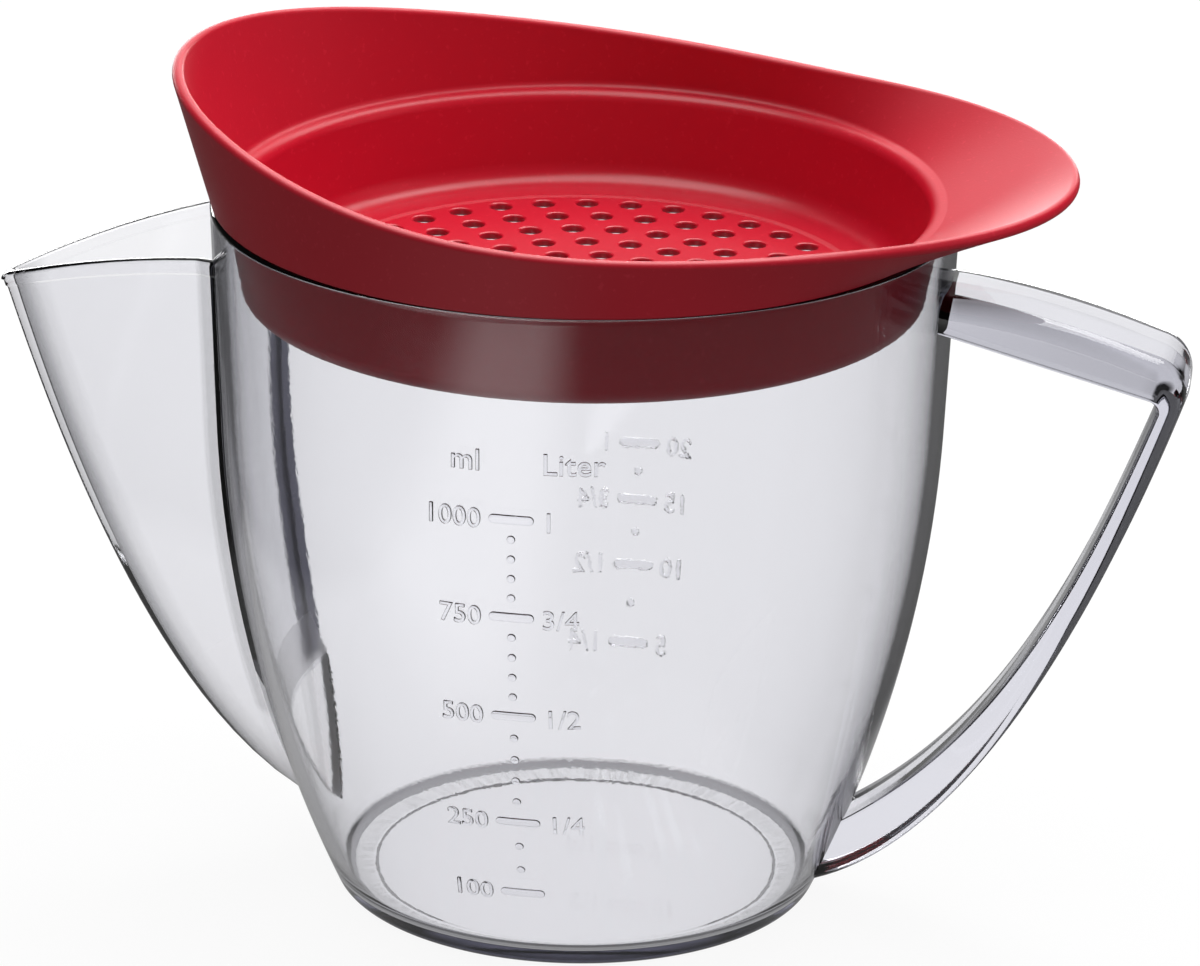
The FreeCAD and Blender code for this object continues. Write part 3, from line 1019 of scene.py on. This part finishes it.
    def window(self) -> bpy.types.Object:
        """The opening through the bowl's wall, its sides half way into the trough's wall.

        Returns:
            The object to cut out.
        """
        inset, high, stations = self.wall / 2, self.window_top + self.window_slant, self.stations()
        nose = self.blended_nose(inset)
        heights = spread(self.window_low, high + self.window_spare, self.window_levels)
        window = loft("window", [[self.path_point(s, z, inset, nose) for s in stations] for z in heights])
        inner = self.shape.radius(self.window_top, self.bowl_wall)
        combine(window, revolve("ceiling", [
            Vector((inner / 4, self.window_top)),
            Vector((inner, self.window_top)),
            Vector((self.shape.radius(high), high)),
            Vector((self.tip.x * 2, high)),
            Vector((self.tip.x * 2, 2 * high)),
            Vector((inner / 4, 2 * high)),
        ]), Cut.REMOVE)
        return window


def clamped(share: float) -> float:
    """A share held between 0 and 1."""
    return min(max(share, 0), 1)


def bezier(poles: Sequence[Vector], t: float) -> Vector:
    """A point on a cubic curve.

    Args:
        poles: The curve's four poles.
        t: How far along, from 0 to 1.

    Returns:
        The point.
    """
    a, b, c, d = poles
    s = 1 - t
    return a * s**3 + b * 3 * s * s * t + c * 3 * s * t * t + d * t**3


@dataclass
class Handle:
    """The flat strap from the rim out to the elbow and back to the foot."""

    shape: BowlShape
    reach: float = 44.3 * MM
    elbow_drop: float = 22.25 * MM
    root_drop: float = 10.85 * MM
    crown: float = 1.9 * MM
    thickness: float = 6.8 * MM
    elbow_radius: float = 7.5 * MM
    inner_radius: float = 1.5 * MM
    elbow_wall: float = 5.1 * MM
    width: float = 21.5 * MM
    root_width: float = 13.5 * MM
    taper_hold: float = 0.35
    outer_edge: float = 3.6 * MM       # rounding of the edges on the outside of the bend
    inner_edge: float = 0.9 * MM       # and on its inside
    low_root: float = 4.2 * MM
    high_root: float = 17.5 * MM
    outer_lean: float = 17.4
    outer_pull: float = 40.2 * MM
    outer_rise: float = 19.45
    outer_rise_pull: float = 32.7 * MM
    inner_lean: float = 19.75
    inner_pull: float = 42.1 * MM
    inner_rise: float = 33.1
    inner_rise_pull: float = 31.4 * MM
    overrun: float = 5.0 * MM          # how far the ends run on inside the bowl
    seam_width: float = 0.35 * MM      # half the width of the blunt crease along the seam
    draft: float = 3.5                 # degrees that the faces fall away from the seam
    upper_steps: int = 16
    elbow_steps: int = 12
    lower_steps: int = 44
    edge_depth: float = 0.6            # the outside rounding's most, as a share of the thickness
    edge_width: float = 0.4            # and as a share of half the width
    edge_steps: int = 8
    support: float = 0.4 * MM          # how far before a rounding a further point keeps the face flat
    near_corner: float = 0.98          # the place on the upper arm that gives its direction at the elbow
    creep: float = 0.0005              # how closely the elbow's end on the lower arm is found
    fit_rounds: int = 30               # rounds that find a height's place on the taper

    def lines(self) -> tuple[list[Vector], list[Vector]]:
        """The side view's two lines.

        Returns:
            The outer and the inner line, with matching points.
        """
        shape = self.shape
        corner = Vector((shape.rim_radius + self.reach, shape.height - self.elbow_drop))
        root_z = shape.height - self.root_drop
        root = Vector((shape.radius(root_z), root_z))
        fall = (corner - root).normalized()
        drop = self.thickness / fall.x
        inner_x = corner.x - self.elbow_wall - drop * math.tan(math.radians(self.outer_lean)) / 2
        inner_corner = Vector((inner_x, corner.y + (inner_x - corner.x) * fall.y / fall.x - drop))
        under = root - Vector((0, drop))
        outer_low = Vector((shape.radius(self.low_root), self.low_root))
        inner_low = Vector((shape.radius(self.high_root), self.high_root))
        outer = self._line(
            (root, corner, self.crown, self.elbow_radius),
            (self.outer_lean, self.outer_pull, outer_low, self.outer_rise, self.outer_rise_pull),
        )
        inner = self._line(
            (under, inner_corner, 0.0, self.inner_radius),
            (self.inner_lean, self.inner_pull, inner_low, self.inner_rise, self.inner_rise_pull),
        )
        return outer, inner

    def _line(
        self,
        upper: tuple[Vector, Vector, float, float],
        lower: tuple[float, float, Vector, float, float],
    ) -> list[Vector]:
        """One line of the side view: upper arm, rounded elbow, lower arm.

        Args:
            upper: The root, the corner, the crown and the corner's radius.
            lower: The lean and pull at the corner, and the end with its rise and pull.

        Returns:
            The line's points, from inside the rim to inside the foot.
        """
        root, corner, crown, radius = upper
        lean, pull, end, rise, rise_pull = lower
        up = Vector((math.cos(math.radians(rise)), math.sin(math.radians(rise))))
        poles = (corner, corner + heading(lean) * pull, end + up * rise_pull, end)
        back = (crowned(root, corner, crown, self.near_corner) - corner).normalized()
        forward = heading(lean)
        cut = radius * math.tan((math.pi - back.angle(forward)) / 2)
        stop = 1 - cut / (corner - root).length
        start = corner + back * cut
        arm = [crowned(root, corner, crown, stop * i / self.upper_steps) for i in range(self.upper_steps)]
        go = 0.0
        while (bezier(poles, go) - corner).length < cut:
            go += self.creep
        bend = arc(start, corner, bezier(poles, go), self.elbow_steps)
        steps = self.lower_steps
        down = [bezier(poles, go + (1 - go) * i / steps) for i in range(1, steps + 1)]
        fall = (corner - root).normalized()
        return [root - fall * self.overrun] + arm + bend + down + [end - up * self.overrun]

    def half_width(self, height: float) -> float:
        """Half the strap's width: full above the elbow, tapering below.

        Args:
            height: The height above the table.

        Returns:
            Half the width there.
        """
        top = self.shape.height - self.elbow_drop
        if height >= top:
            return self.width / 2
        t = min((top - height) / (top - self.low_root), 1.0)
        hold = self.taper_hold
        low, high = 0.0, 1.0
        for _ in range(self.fit_rounds):
            m = (low + high) / 2
            fallen = 3 * hold * m * (1 - m) ** 2 + 3 * (1 - hold) * m**2 * (1 - m) + m**3
            low, high = (m, high) if fallen < t else (low, m)
        wide, narrow, s = self.width / 2, self.root_width / 2, 1 - low
        return wide * (s**3 + 3 * s * s * low) + narrow * (3 * s * low * low + low**3)

    def section(self, outer: Vector, inner: Vector) -> list[Vector]:
        """One cross section, thickest along the seam in its middle, with rounded edges.

        Args:
            outer: The outer line's point.
            inner: The inner line's point.

        Returns:
            The section's points.
        """
        half = self.half_width(outer.y)
        depth = (outer - inner).length
        out = (outer - inner) / depth
        centre = (outer + inner) / 2
        slope = math.tan(math.radians(self.draft))
        middle = depth / 2 + slope * half / 2
        outside = min(self.outer_edge, depth * self.edge_depth, half * self.edge_width)
        upper = self._quarter(half, middle, slope, outside)
        lower = self._quarter(half, middle, slope, min(self.inner_edge, depth / 4))
        side = (half, (upper[-1][1] - lower[-1][1]) / 2)
        right = upper + [side] + [(y, -v) for y, v in reversed(lower)]
        loop = right + [(-y, v) for y, v in reversed(right[1:-1])]
        return [Vector((centre.x + out.x * v, y, centre.y + out.y * v)) for y, v in loop]

    def _quarter(self, half: float, middle: float, slope: float, r: float) -> list[tuple[float, float]]:
        """A quarter of the cross section, from the seam to the end of the rounded edge.

        Args:
            half: Half the strap's width.
            middle: Half its thickness at the seam.
            slope: How fast the face falls away from the seam.
            r: The edge's radius.

        Returns:
            The points, each a place across the strap and one through it.
        """
        flat = [(y, middle - slope * y) for y in (self.seam_width, half / 2, half - r - self.support)]
        across, through = half - r, middle - slope * (half - r) - r
        turns = spread(0, math.pi / 2, self.edge_steps)
        edge = [(across + r * math.sin(turn), through + r * math.cos(turn)) for turn in turns]
        return [(0.0, middle)] + flat + edge

    def strap(self) -> bpy.types.Object:
        """The strap as one closed mesh."""
        outer, inner = self.lines()
        return loft("strap", [self.section(a, b) for a, b in zip(outer, inner)])


@dataclass
class Jug:
    """The clear moulding: bowl, spout and handle in one."""

    bowl: Bowl
    spout: Spout
    handle: Handle
    smooth_angle: float = 32.0

    def build(self, material: bpy.types.Material) -> bpy.types.Object:
        """Makes the jug and hangs it on its body.

        Args:
            material: The clear plastic.

        Returns:
            The jug's object.
        """
        jug = self.bowl.blank()
        combine(jug, self.spout.window(), Cut.REMOVE)
        combine(jug, self.spout.trough(), Cut.JOIN)
        combine(jug, self.handle.strap(), Cut.JOIN)
        combine(jug, self.bowl.cavity(), Cut.REMOVE)
        dress(jug, material, self.smooth_angle)
        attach(jug, "jug")
        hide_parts("jug_body", "pouring_spout", "strap_handle")
        return jug


# --- The raised scale ---


@dataclass(frozen=True)
class ScaleColumn:
    """One column of marks: its side, its bars with the words beside them, and its headings."""

    side: Side
    heights: tuple[float, ...]
    left: tuple[str, ...]
    right: tuple[str, ...]
    dots: tuple[int, ...]
    left_heading: str
    right_heading: str
    heading_height: float


@dataclass
class VolumeScale:
    """Raised bars, dots and figures on the bowl's wall."""

    shape: BowlShape
    columns: tuple[ScaleColumn, ...]
    relief: float = 0.45 * MM
    sunk: float = 0.06 * MM            # how far a mark reaches into the wall
    bevel: float = 0.22 * MM
    bar_length: float = 8.0 * MM
    bar_width: float = 1.7 * MM
    dot_width: float = 1.5 * MM
    figure_height: float = 3.75 * MM
    heading_height: float = 4.1 * MM
    figure_gap: float = 1.3 * MM       # from a bar's end to the figures beside it
    capital_share: float = 0.73        # a figure's height as a share of the font's size
    spacing: float = 1.02
    curve_steps: int = 4
    ease: float = 0.3                  # how far the bevel's middle stands out, as a share of it
    merge: float = 0.01 * MM
    end_steps: int = 12
    bar_steps: int = 6
    smooth_angle: float = 40.0

    def wrap(self, piece: bpy.types.Object, side: Side) -> None:
        """Lays a flat mark on the bowl.

        Args:
            piece: The mark: its x runs round the bowl, its y up it and its z out of it.
            side: The side that it stands on.
        """
        for vert in piece.data.vertices:
            x, height, out = vert.co
            level = self.shape.radius(height)
            bearing = side.value * math.pi / 2 + x / level
            vert.co = around(level + out - self.sunk, bearing, height)
        piece.data.update()
        face_outwards(piece)

    def bar(self, length: float, width: float, height: float, side: Side) -> bpy.types.Object:
        """A round-ended bar, its top edge bevelled.

        Args:
            length: The bar's whole length.
            width: Its width, the length too for a dot.
            height: Its height on the jug.
            side: The side that it stands on.

        Returns:
            The bar's object.
        """
        straight, half, top = max(length - width, 0) / 2, width / 2, self.sunk + self.relief
        runs = self.bar_steps if straight else 1
        rim: list[tuple[float, float, float]] = []
        for sign in (1, -1):
            for i in range(self.end_steps + 1):
                angle = sign * math.pi / 2 - math.pi * i / self.end_steps
                rim.append((sign * straight, math.cos(angle), math.sin(angle)))
            for i in range(1, runs):
                rim.append((sign * straight * (1 - 2 * i / runs), 0, -sign))
        eased = self.ease * self.bevel
        levels = ((0, half), (top - self.bevel, half), (top - eased, half - eased), (top, half - self.bevel),
                  (top, half / 4))
        rings = [
            [Vector((x + c * radius, s * radius + height, out)) for x, c, s in rim]
            for out, radius in levels
        ]
        piece = loft("mark", rings)
        self.wrap(piece, side)
        return piece

    def figures(
        self, text: str, anchor: Anchor, x: float, height: float, size: float, side: Side
    ) -> bpy.types.Object:
        """Raised figures, bevelled.

        Args:
            text: What they say.
            anchor: The end of them that x places.
            x: Their place round the bowl from the scale's middle line.
            height: The height of their middle.
            size: Their height.
            side: The side that they stand on.

        Returns:
            The figures' object.
        """
        deselect_all()
        bpy.ops.object.text_add()
        words = bpy.context.active_object
        words.data.body = text
        words.data.align_x = anchor.value
        words.data.size = size / self.capital_share
        words.data.resolution_u = self.curve_steps
        words.data.space_character = self.spacing
        words.data.extrude = (self.relief + self.sunk - self.bevel / 2) / 2
        words.data.bevel_depth = self.bevel / 2
        words.data.bevel_resolution = 1
        words.data.offset = -self.bevel / 4
        bpy.ops.object.convert(target="MESH")
        words = bpy.context.active_object
        face_outwards(words, self.merge)
        lowest = min(vert.co.z for vert in words.data.vertices)
        for vert in words.data.vertices:
            vert.co += Vector((x, height - size / 2, -lowest))
        self.wrap(words, side)
        return words

    def column(self, column: ScaleColumn) -> list[bpy.types.Object]:
        """All marks of one column.

        Args:
            column: The column.

        Returns:
            The marks, each an object of its own.
        """
        marks = []
        edge = self.bar_length / 2 + self.figure_gap
        for height, left, right in zip(column.heights, column.left, column.right):
            marks.append(self.bar(self.bar_length, self.bar_width, height, column.side))
            beside = (height, self.figure_height, column.side)
            marks.append(self.figures(left, Anchor.RIGHT, -edge, *beside))
            if right:
                marks.append(self.figures(right, Anchor.LEFT, edge, *beside))
        for low, high, count in zip(column.heights, column.heights[1:], column.dots):
            for i in range(count):
                height = low + (high - low) * (i + 1) / (count + 1)
                marks.append(self.bar(self.dot_width, self.dot_width, height, column.side))
        if column.left_heading:
            above = (column.heading_height, self.heading_height, column.side)
            marks.append(self.figures(column.left_heading, Anchor.RIGHT, -edge, *above))
            marks.append(self.figures(column.right_heading, Anchor.LEFT, edge, *above))
        return marks

    def build(self, material: bpy.types.Material) -> bpy.types.Object:
        """Makes every mark and hangs them on the jug's body.

        Args:
            material: The clear plastic.

        Returns:
            The marks as one object.
        """
        marks = [mark for column in self.columns for mark in self.column(column)]
        scale = join_all(marks, "volume_marks")
        dress(scale, material, self.smooth_angle)
        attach(scale, "jug")
        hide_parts("volume_scale")
        return scale


# --- The strainer ---


@dataclass(frozen=True)
class AroundRim:
    """A value that changes round the rim, given at five bearings from the handle to the spout."""

    handle: float
    handle_quarter: float
    side: float
    spout_quarter: float
    spout: float

    def at(self, bearing: float) -> float:
        """The value at a bearing, as a cosine series through the five.

        Args:
            bearing: The bearing from +X, in radians.

        Returns:
            The value.
        """
        a, b, c, d, e = self.handle, self.handle_quarter, self.side, self.spout_quarter, self.spout
        second = (a - 2 * c + e) / 4
        odd_sum, odd_quarter = (a - e) / 2, (b - d) / (2 * math.cos(math.pi / 4))
        even = (b + d) / 2
        fourth = ((a + e) / 2 + c) / 4 - even / 2
        series = (even + fourth, (odd_sum + odd_quarter) / 2, second, (odd_sum - odd_quarter) / 2, fourth)
        return sum(term * math.cos(order * bearing) for order, term in enumerate(series))


@dataclass
class Strainer:
    """The red insert: a perforated basin in the jug's mouth, under a broad funnel flange."""

    shape: BowlShape
    reach: AroundRim = AroundRim(21.6 * MM, 5.3 * MM, -0.3 * MM, 2.7 * MM, 7.3 * MM)
    rise: AroundRim = AroundRim(7.35 * MM, 8.95 * MM, 11.25 * MM, 18.15 * MM, 23.45 * MM)
    bowl_wall: float = BOWL_WALL
    seat_overhang: float = -0.3 * MM   # the jug's rounded rim shows below the flange
    mouth_clearance: float = 0.8 * MM
    plug_wall: float = 2.2 * MM
    plug_draft: float = 9.5
    plug_depth: float = 17.85 * MM
    plug_corner: float = 4.5 * MM
    plate: float = 1.8 * MM
    basin_corner: float = 4.2 * MM
    flange: float = 2.2 * MM
    shoulder_rise: float = 0.6 * MM
    shoulder_radius: float = 2.4 * MM
    ledge_width: float = 2.9 * MM
    ledge_slope: float = 0.17
    ledge_radius: float = 1.3 * MM
    lip_radius: float = 0.95 * MM
    seat_radius: float = 0.4 * MM
    step_radius: float = 50.8 * MM     # the perforated disc lies a little lower inside this radius
    step_depth: float = 0.3 * MM
    step_round: float = 0.5 * MM
    disc_start: float = 2.0 * MM       # how far inside the step the disc's flat middle begins
    hole_width: float = 4.1 * MM
    hole_pitch: float = 8.15 * MM
    hole_ring_step: float = 7.5 * MM
    hole_ring_margin: float = 12.4 * MM
    hole_chamfer: float = 0.35 * MM
    hole_ease: float = 0.35            # how far the chamfer's middle stands in, as a share of it
    hole_steps: int = 28
    corner_steps: int = 7
    support: float = 0.12 * MM         # how far past a rounding a further point keeps the face flat
    smooth_angle: float = 27.0

    def outline(self, bearing: float) -> list[Vector]:
        """The strainer's section at a bearing.

        Args:
            bearing: The bearing from +X, in radians.

        Returns:
            Its points, from the plate's top up, over the flange and down to the plate's underside.
        """
        rim, base = self.shape.height, self.shape.rim_radius + self.seat_overhang
        lean = math.tan(math.radians(self.plug_draft))
        plug = self.shape.radius(rim, self.bowl_wall) - self.mouth_clearance
        mouth = plug - self.plug_wall
        bottom = rim - self.plug_depth
        top = bottom + self.plate
        wall_foot = mouth - (rim - top) * lean
        outer = Vector((self.shape.rim_radius + self.reach.at(bearing), rim + self.rise.at(bearing)))
        slope = outer - Vector((base, rim))
        inner = outer + Vector((-slope.y, slope.x)).normalized() * self.flange
        shoulder = mouth + self.shoulder_rise * lean
        ledge_rise = self.shoulder_rise + self.ledge_width * self.ledge_slope
        step, soft = self.step_radius, self.step_round
        return rounded([
            Corner(step - self.disc_start, top - self.step_depth),
            Corner(step - soft, top - self.step_depth, soft),
            Corner(step + soft, top, soft),
            Corner(wall_foot, top, self.basin_corner),
            Corner(shoulder, rim + self.shoulder_rise, self.shoulder_radius),
            Corner(shoulder + self.ledge_width, rim + ledge_rise, self.ledge_radius),
            Corner(inner.x, inner.y, self.lip_radius),
            Corner(outer.x, outer.y, self.lip_radius),
            Corner(base, rim, self.seat_radius),
            Corner(plug, rim, self.seat_radius),
            Corner(plug - self.plug_depth * lean, bottom, self.plug_corner),
            Corner(step, bottom),
        ], self.corner_steps, self.support)

    def blank(self) -> bpy.types.Object:
        """The strainer without its holes.

        Returns:
            Its object.
        """
        turns = [2 * math.pi / ROUND_STEPS * i for i in range(ROUND_STEPS)]
        levels = zip(*(self.outline(turn) for turn in turns))
        return loft("strainer", [
            [around(point.x, turn, point.y) for point, turn in zip(level, turns)] for level in levels
        ])

    def drills(self) -> bpy.types.Object:
        """Every hole's tool, waisted so that the hole's rims are eased.

        Returns:
            The tools as one object.
        """
        bottom = self.shape.height - self.plug_depth
        top = bottom + self.plate - self.step_depth
        chamfer = self.hole_chamfer
        narrow, eased = self.hole_width / 2, self.hole_ease * chamfer
        wide = narrow + chamfer
        drill = loft("drill", [ring_at(radius, z, self.hole_steps) for radius, z in (
            (wide + MM, bottom - MM),
            (wide, bottom),
            (narrow, bottom + chamfer),
            (narrow, top - chamfer),
            (narrow + eased, top - eased),
            (wide, top),
            (wide + MM, top + MM),
        )])
        drills = [drill]
        plug = self.shape.radius(self.shape.height, self.bowl_wall) - self.mouth_clearance
        lean = math.tan(math.radians(self.plug_draft))
        ring = plug - self.plug_wall - (self.plug_depth - self.plate) * lean - self.hole_ring_margin
        shifted = False
        while ring > self.hole_width:
            count = round(2 * math.pi * ring / self.hole_pitch)
            for i in range(count):
                bearing = math.pi / 2 + 2 * math.pi * (i + (0.5 if shifted else 0)) / count
                hole = drill.copy()
                hole.data = drill.data.copy()
                bpy.context.scene.collection.objects.link(hole)
                for vert in hole.data.vertices:
                    vert.co += around(ring, bearing, 0)
                drills.append(hole)
            ring -= self.hole_ring_step
            shifted = not shifted
        return join_all(drills, "drills")

    def build(self, material: bpy.types.Material) -> bpy.types.Object:
        """Makes the strainer and hangs it on its body.

        Args:
            material: The red plastic.

        Returns:
            The strainer's object.
        """
        strainer = self.blank()
        combine(strainer, self.drills(), Cut.REMOVE)
        dress(strainer, material, self.smooth_angle)
        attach(strainer, "strainer")
        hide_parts("strainer_insert")
        return strainer


# --- The studio ---


@dataclass(frozen=True)
class Lamp:
    """A soft lamp that looks at the object."""

    name: str
    place: tuple[float, float, float]
    size: tuple[float, float]
    power: float
    mirrored: bool = True              # whether it shows in reflections


@dataclass(frozen=True)
class Strip:
    """A white strip on the floor along the camera's view, as reflections show it."""

    white: float                       # how white it is
    core: float                        # how far either side of its middle it is fully white
    edge: float                        # how far until it is dark
    shift: float                       # how far to the left its middle lies
    ease: Ease = Ease.EVEN


@dataclass
class Studio:
    """The floor, the lamps, the room's own light and the camera."""

    aim: Vector = Vector((3.41 * MM, 0.62 * MM, 76.67 * MM))
    azimuth: float = 10.3
    elevation: float = 20.571
    roll: float = 0.8975
    distance: float = 1206.9 * MM
    lens: float = 198.1                # in millimetres, as Blender gives it
    sensor: float = 36.0
    floor_size: float = 6.0
    floor_roughness: float = 0.9
    floor_glow: float = 0.92           # how much of the floor's white it gives off by itself
    floor_white: float = 0.06          # how much of the lamps' light it gives back
    floor_light: float = 0.22          # how strongly the floor lights the object
    room_light: float = 0.20           # how strongly the room does
    through_light: float = 0.36        # and either through clear plastic, where no lamp reaches
    mirrored_dark: float = 0.02        # how white the room's dark sides are in a reflection
    mirrored_back: float = 0.80        # how white the room's back wall is
    behind: Strip = Strip(0.35, 0.110, 0.134, 0.05)
    front: Strip = Strip(1.00, 0.03, 0.13, 0.12, Ease.SOFT)
    front_start: tuple[float, float] = (-0.08, -0.14)   # from where to where the front's takes over
    wall_sides: tuple[float, float] = (0.25, 0.50)      # how far aside the back wall's white fades out
    wall_start: tuple[float, float] = (0.05, 0.40)      # and how far ahead it fades in
    lamps: tuple[Lamp, ...] = (
        Lamp("overhead", (0.10, 0.75, 1.05), (1.2, 0.6), 9.0),
        Lamp("top", (-0.10, 0.10, 1.30), (1.5, 1.0), 16.0),
        Lamp("back", (-0.35, 1.30, 0.17), (1.4, 0.3), 9.0),
        Lamp("right", (1.10, 0.05, 0.75), (0.6, 0.9), 7.0, mirrored=False),
    )

    def camera(self) -> None:
        """Sets the camera at its distance from the object, turned a little about its own axis."""
        az, el = math.radians(self.azimuth), math.radians(self.elevation)
        back = Vector((math.sin(az) * math.cos(el), -math.cos(az) * math.cos(el), math.sin(el)))
        bpy.ops.object.camera_add()
        camera = bpy.context.active_object
        camera.data.lens = self.lens
        camera.data.sensor_width = self.sensor
        camera.rotation_mode = "QUATERNION"
        camera.location = self.aim + back * self.distance
        level = (-back).to_track_quat("-Z", "Y")
        camera.rotation_quaternion = level @ Quaternion((0, 0, 1), math.radians(self.roll))
        bpy.context.scene.camera = camera

    def floor(self) -> None:
        """A pale floor that gives off part of its white, so that it is white and still takes a shadow."""
        deselect_all()
        bpy.ops.mesh.primitive_plane_add(size=self.floor_size)
        floor = bpy.context.active_object
        floor.name = "floor"
        material, shader, output = new_material("floor")
        tree = material.node_tree
        place = (add_node(tree, "TexCoord"), "Object")
        in_front = ramp(tree, self._ahead(tree, place), *self.front_start)
        behind, front = (self._strip(tree, place, strip) for strip in (self.behind, self.front))
        level = self._level(tree, mix(tree, in_front, behind, front), self.floor_glow, self.floor_light)
        feed(tree, shader, {
            "Base Color": (*(self.floor_white,) * 3, 1),
            "Roughness": self.floor_roughness,
            "Specular IOR Level": 0.0,
        })
        glow = add_node(tree, "Emission", {"Strength": level})
        feed(tree, output, {"Surface": add_node(tree, "AddShader", {0: shader, 1: glow})})
        floor.data.materials.append(material)

    def _aside(self, tree: bpy.types.NodeTree, place: Feed, shift: float = 0.0) -> bpy.types.Node:
        """Adds how far a place lies from a line along the camera's view, on either side.

        Args:
            tree: The node tree that gets the nodes.
            place: The place, or a direction.
            shift: How far to the left of the origin the line runs.

        Returns:
            The node.
        """
        turn = math.radians(self.azimuth)
        way = Vector((math.cos(turn), math.sin(turn), 0))
        along = add_node(tree, "VectorMath", {0: place, 1: way}, operation="DOT_PRODUCT")
        return maths(tree, "ABSOLUTE", maths(tree, "ADD", (along, "Value"), shift))

    def _ahead(self, tree: bpy.types.NodeTree, place: Feed) -> Feed:
        """Adds how far a place lies past the origin, along the camera's view.

        Args:
            tree: The node tree that gets the node.
            place: The place, or a direction.

        Returns:
            The node and its output's name.
        """
        turn = math.radians(self.azimuth)
        way = Vector((-math.sin(turn), math.cos(turn), 0))
        return add_node(tree, "VectorMath", {0: place, 1: way}, operation="DOT_PRODUCT"), "Value"

    def _strip(self, tree: bpy.types.NodeTree, place: Feed, strip: Strip) -> bpy.types.Node:
        """Adds the white of a strip, dark beside it.

        Args:
            tree: The node tree that gets the nodes.
            place: The place.
            strip: The strip.

        Returns:
            The node.
        """
        aside = self._aside(tree, place, strip.shift)
        return ramp(tree, aside, strip.edge, strip.core, self.mirrored_dark, strip.white, strip.ease)

    def _level(self, tree: bpy.types.NodeTree, mirrored: Feed, seen_level: float, lighting: float) -> Feed:
        """Adds the white that a ray meets.

        It is even for the eye and through clear plastic, changes with the place after a reflection, and
        is a plain lower level for the rays that light the object.

        Args:
            tree: The node tree that gets the nodes.
            mirrored: The white after a reflection.
            seen_level: The white for the eye.
            lighting: The level that lights the object.

        Returns:
            The node and its output's name.
        """
        rays = add_node(tree, "LightPath")
        through = (rays, "Is Transmission Ray")
        eye = maths(tree, "MAXIMUM", (rays, "Is Camera Ray"), (rays, "Is Glossy Ray"))
        seen = maths(tree, "MAXIMUM", eye, through)
        white = maths(tree, "MULTIPLY", seen, mix(tree, (rays, "Glossy Depth"), 1.0, mirrored))
        whole = maths(tree, "MULTIPLY", white, seen_level)
        beyond = mix(tree, through, lighting, self.through_light)
        return mix(tree, (rays, "Diffuse Depth"), whole, beyond)

    def room(self) -> None:
        """The world: white where it is seen, with dark sides where it is mirrored."""
        world = bpy.data.worlds.new("room")
        bpy.context.scene.world = world
        world.use_nodes = True
        tree = world.node_tree
        place = (add_node(tree, "TexCoord"), "Generated")
        sides = ramp(tree, self._aside(tree, place), *self.wall_sides, 1.0, 0.0)
        wall = maths(tree, "MULTIPLY", sides, ramp(tree, self._ahead(tree, place), *self.wall_start))
        mirrored = ramp(tree, wall, 0.0, 1.0, self.mirrored_dark, self.mirrored_back)
        level = self._level(tree, mirrored, 1.0, self.room_light)
        feed(tree, tree.nodes["Background"], {"Color": (1, 1, 1, 1), "Strength": level})

    def light(self) -> None:
        """The lamps, each turned to the object."""
        for lamp in self.lamps:
            deselect_all()
            bpy.ops.object.light_add(type="AREA", location=lamp.place)
            light = bpy.context.active_object
            light.name = lamp.name
            light.data.shape = "RECTANGLE"
            light.data.size, light.data.size_y = lamp.size
            light.data.energy = lamp.power
            light.visible_glossy = lamp.mirrored
            light.visible_transmission = False
            light.rotation_mode = "QUATERNION"
            light.rotation_quaternion = (self.aim - Vector(lamp.place)).to_track_quat("-Z", "Y")

    def build(self) -> None:
        """Sets up everything round the object."""
        bpy.context.scene.view_settings.view_transform = "Standard"
        self.camera()
        self.floor()
        self.room()
        self.light()


# --- Putting it together ---


def scale_columns() -> tuple[ScaleColumn, ...]:
    """The scale's two columns.

    Returns:
        Millilitres and litres in front, and fluid ounces and pints behind.
    """
    front = ScaleColumn(
        Side.FRONT,
        tuple(z * MM for z in (17.2, 33.1, 55.6, 75.4, 94.0)),
        ("100", "250", "500", "750", "1000"),
        ("", "1/4", "1/2", "3/4", "1"),
        (2, 4, 4, 4),
        "ml",
        "Liter",
        104.9 * MM,
    )
    back = ScaleColumn(
        Side.BACK,
        tuple(z * MM for z in (24.4, 38.8, 51.4, 62.3)),
        ("5", "10", "15", "20"),
        ("1/4", "1/2", "3/4", "1"),
        (1, 1, 1),
        "",
        "",
        0.0,
    )
    return front, back


def main() -> None:
    """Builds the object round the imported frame."""
    logging.basicConfig(level=logging.INFO, format="%(message)s")
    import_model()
    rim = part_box("jug_body")[1]
    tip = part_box("pouring_spout")[0]
    shape = BowlShape(rim_radius=rim.x, height=rim.z)
    clear, red = ClearPlastic().material(shape), SatinPlastic().material()
    spout = Spout(shape, tip=Vector((-tip.x, rim.z - SPOUT_TIP_DROP)))
    jug = Jug(Bowl(shape), spout, Handle(shape)).build(clear)
    scale = VolumeScale(shape, scale_columns()).build(clear)
    strainer = Strainer(shape).build(red)
    for piece in (jug, scale, strainer):
        log.info("%s: %d faces", piece.name, len(piece.data.polygons))
    Studio().build()


if __name__ == "__main__":
    main()
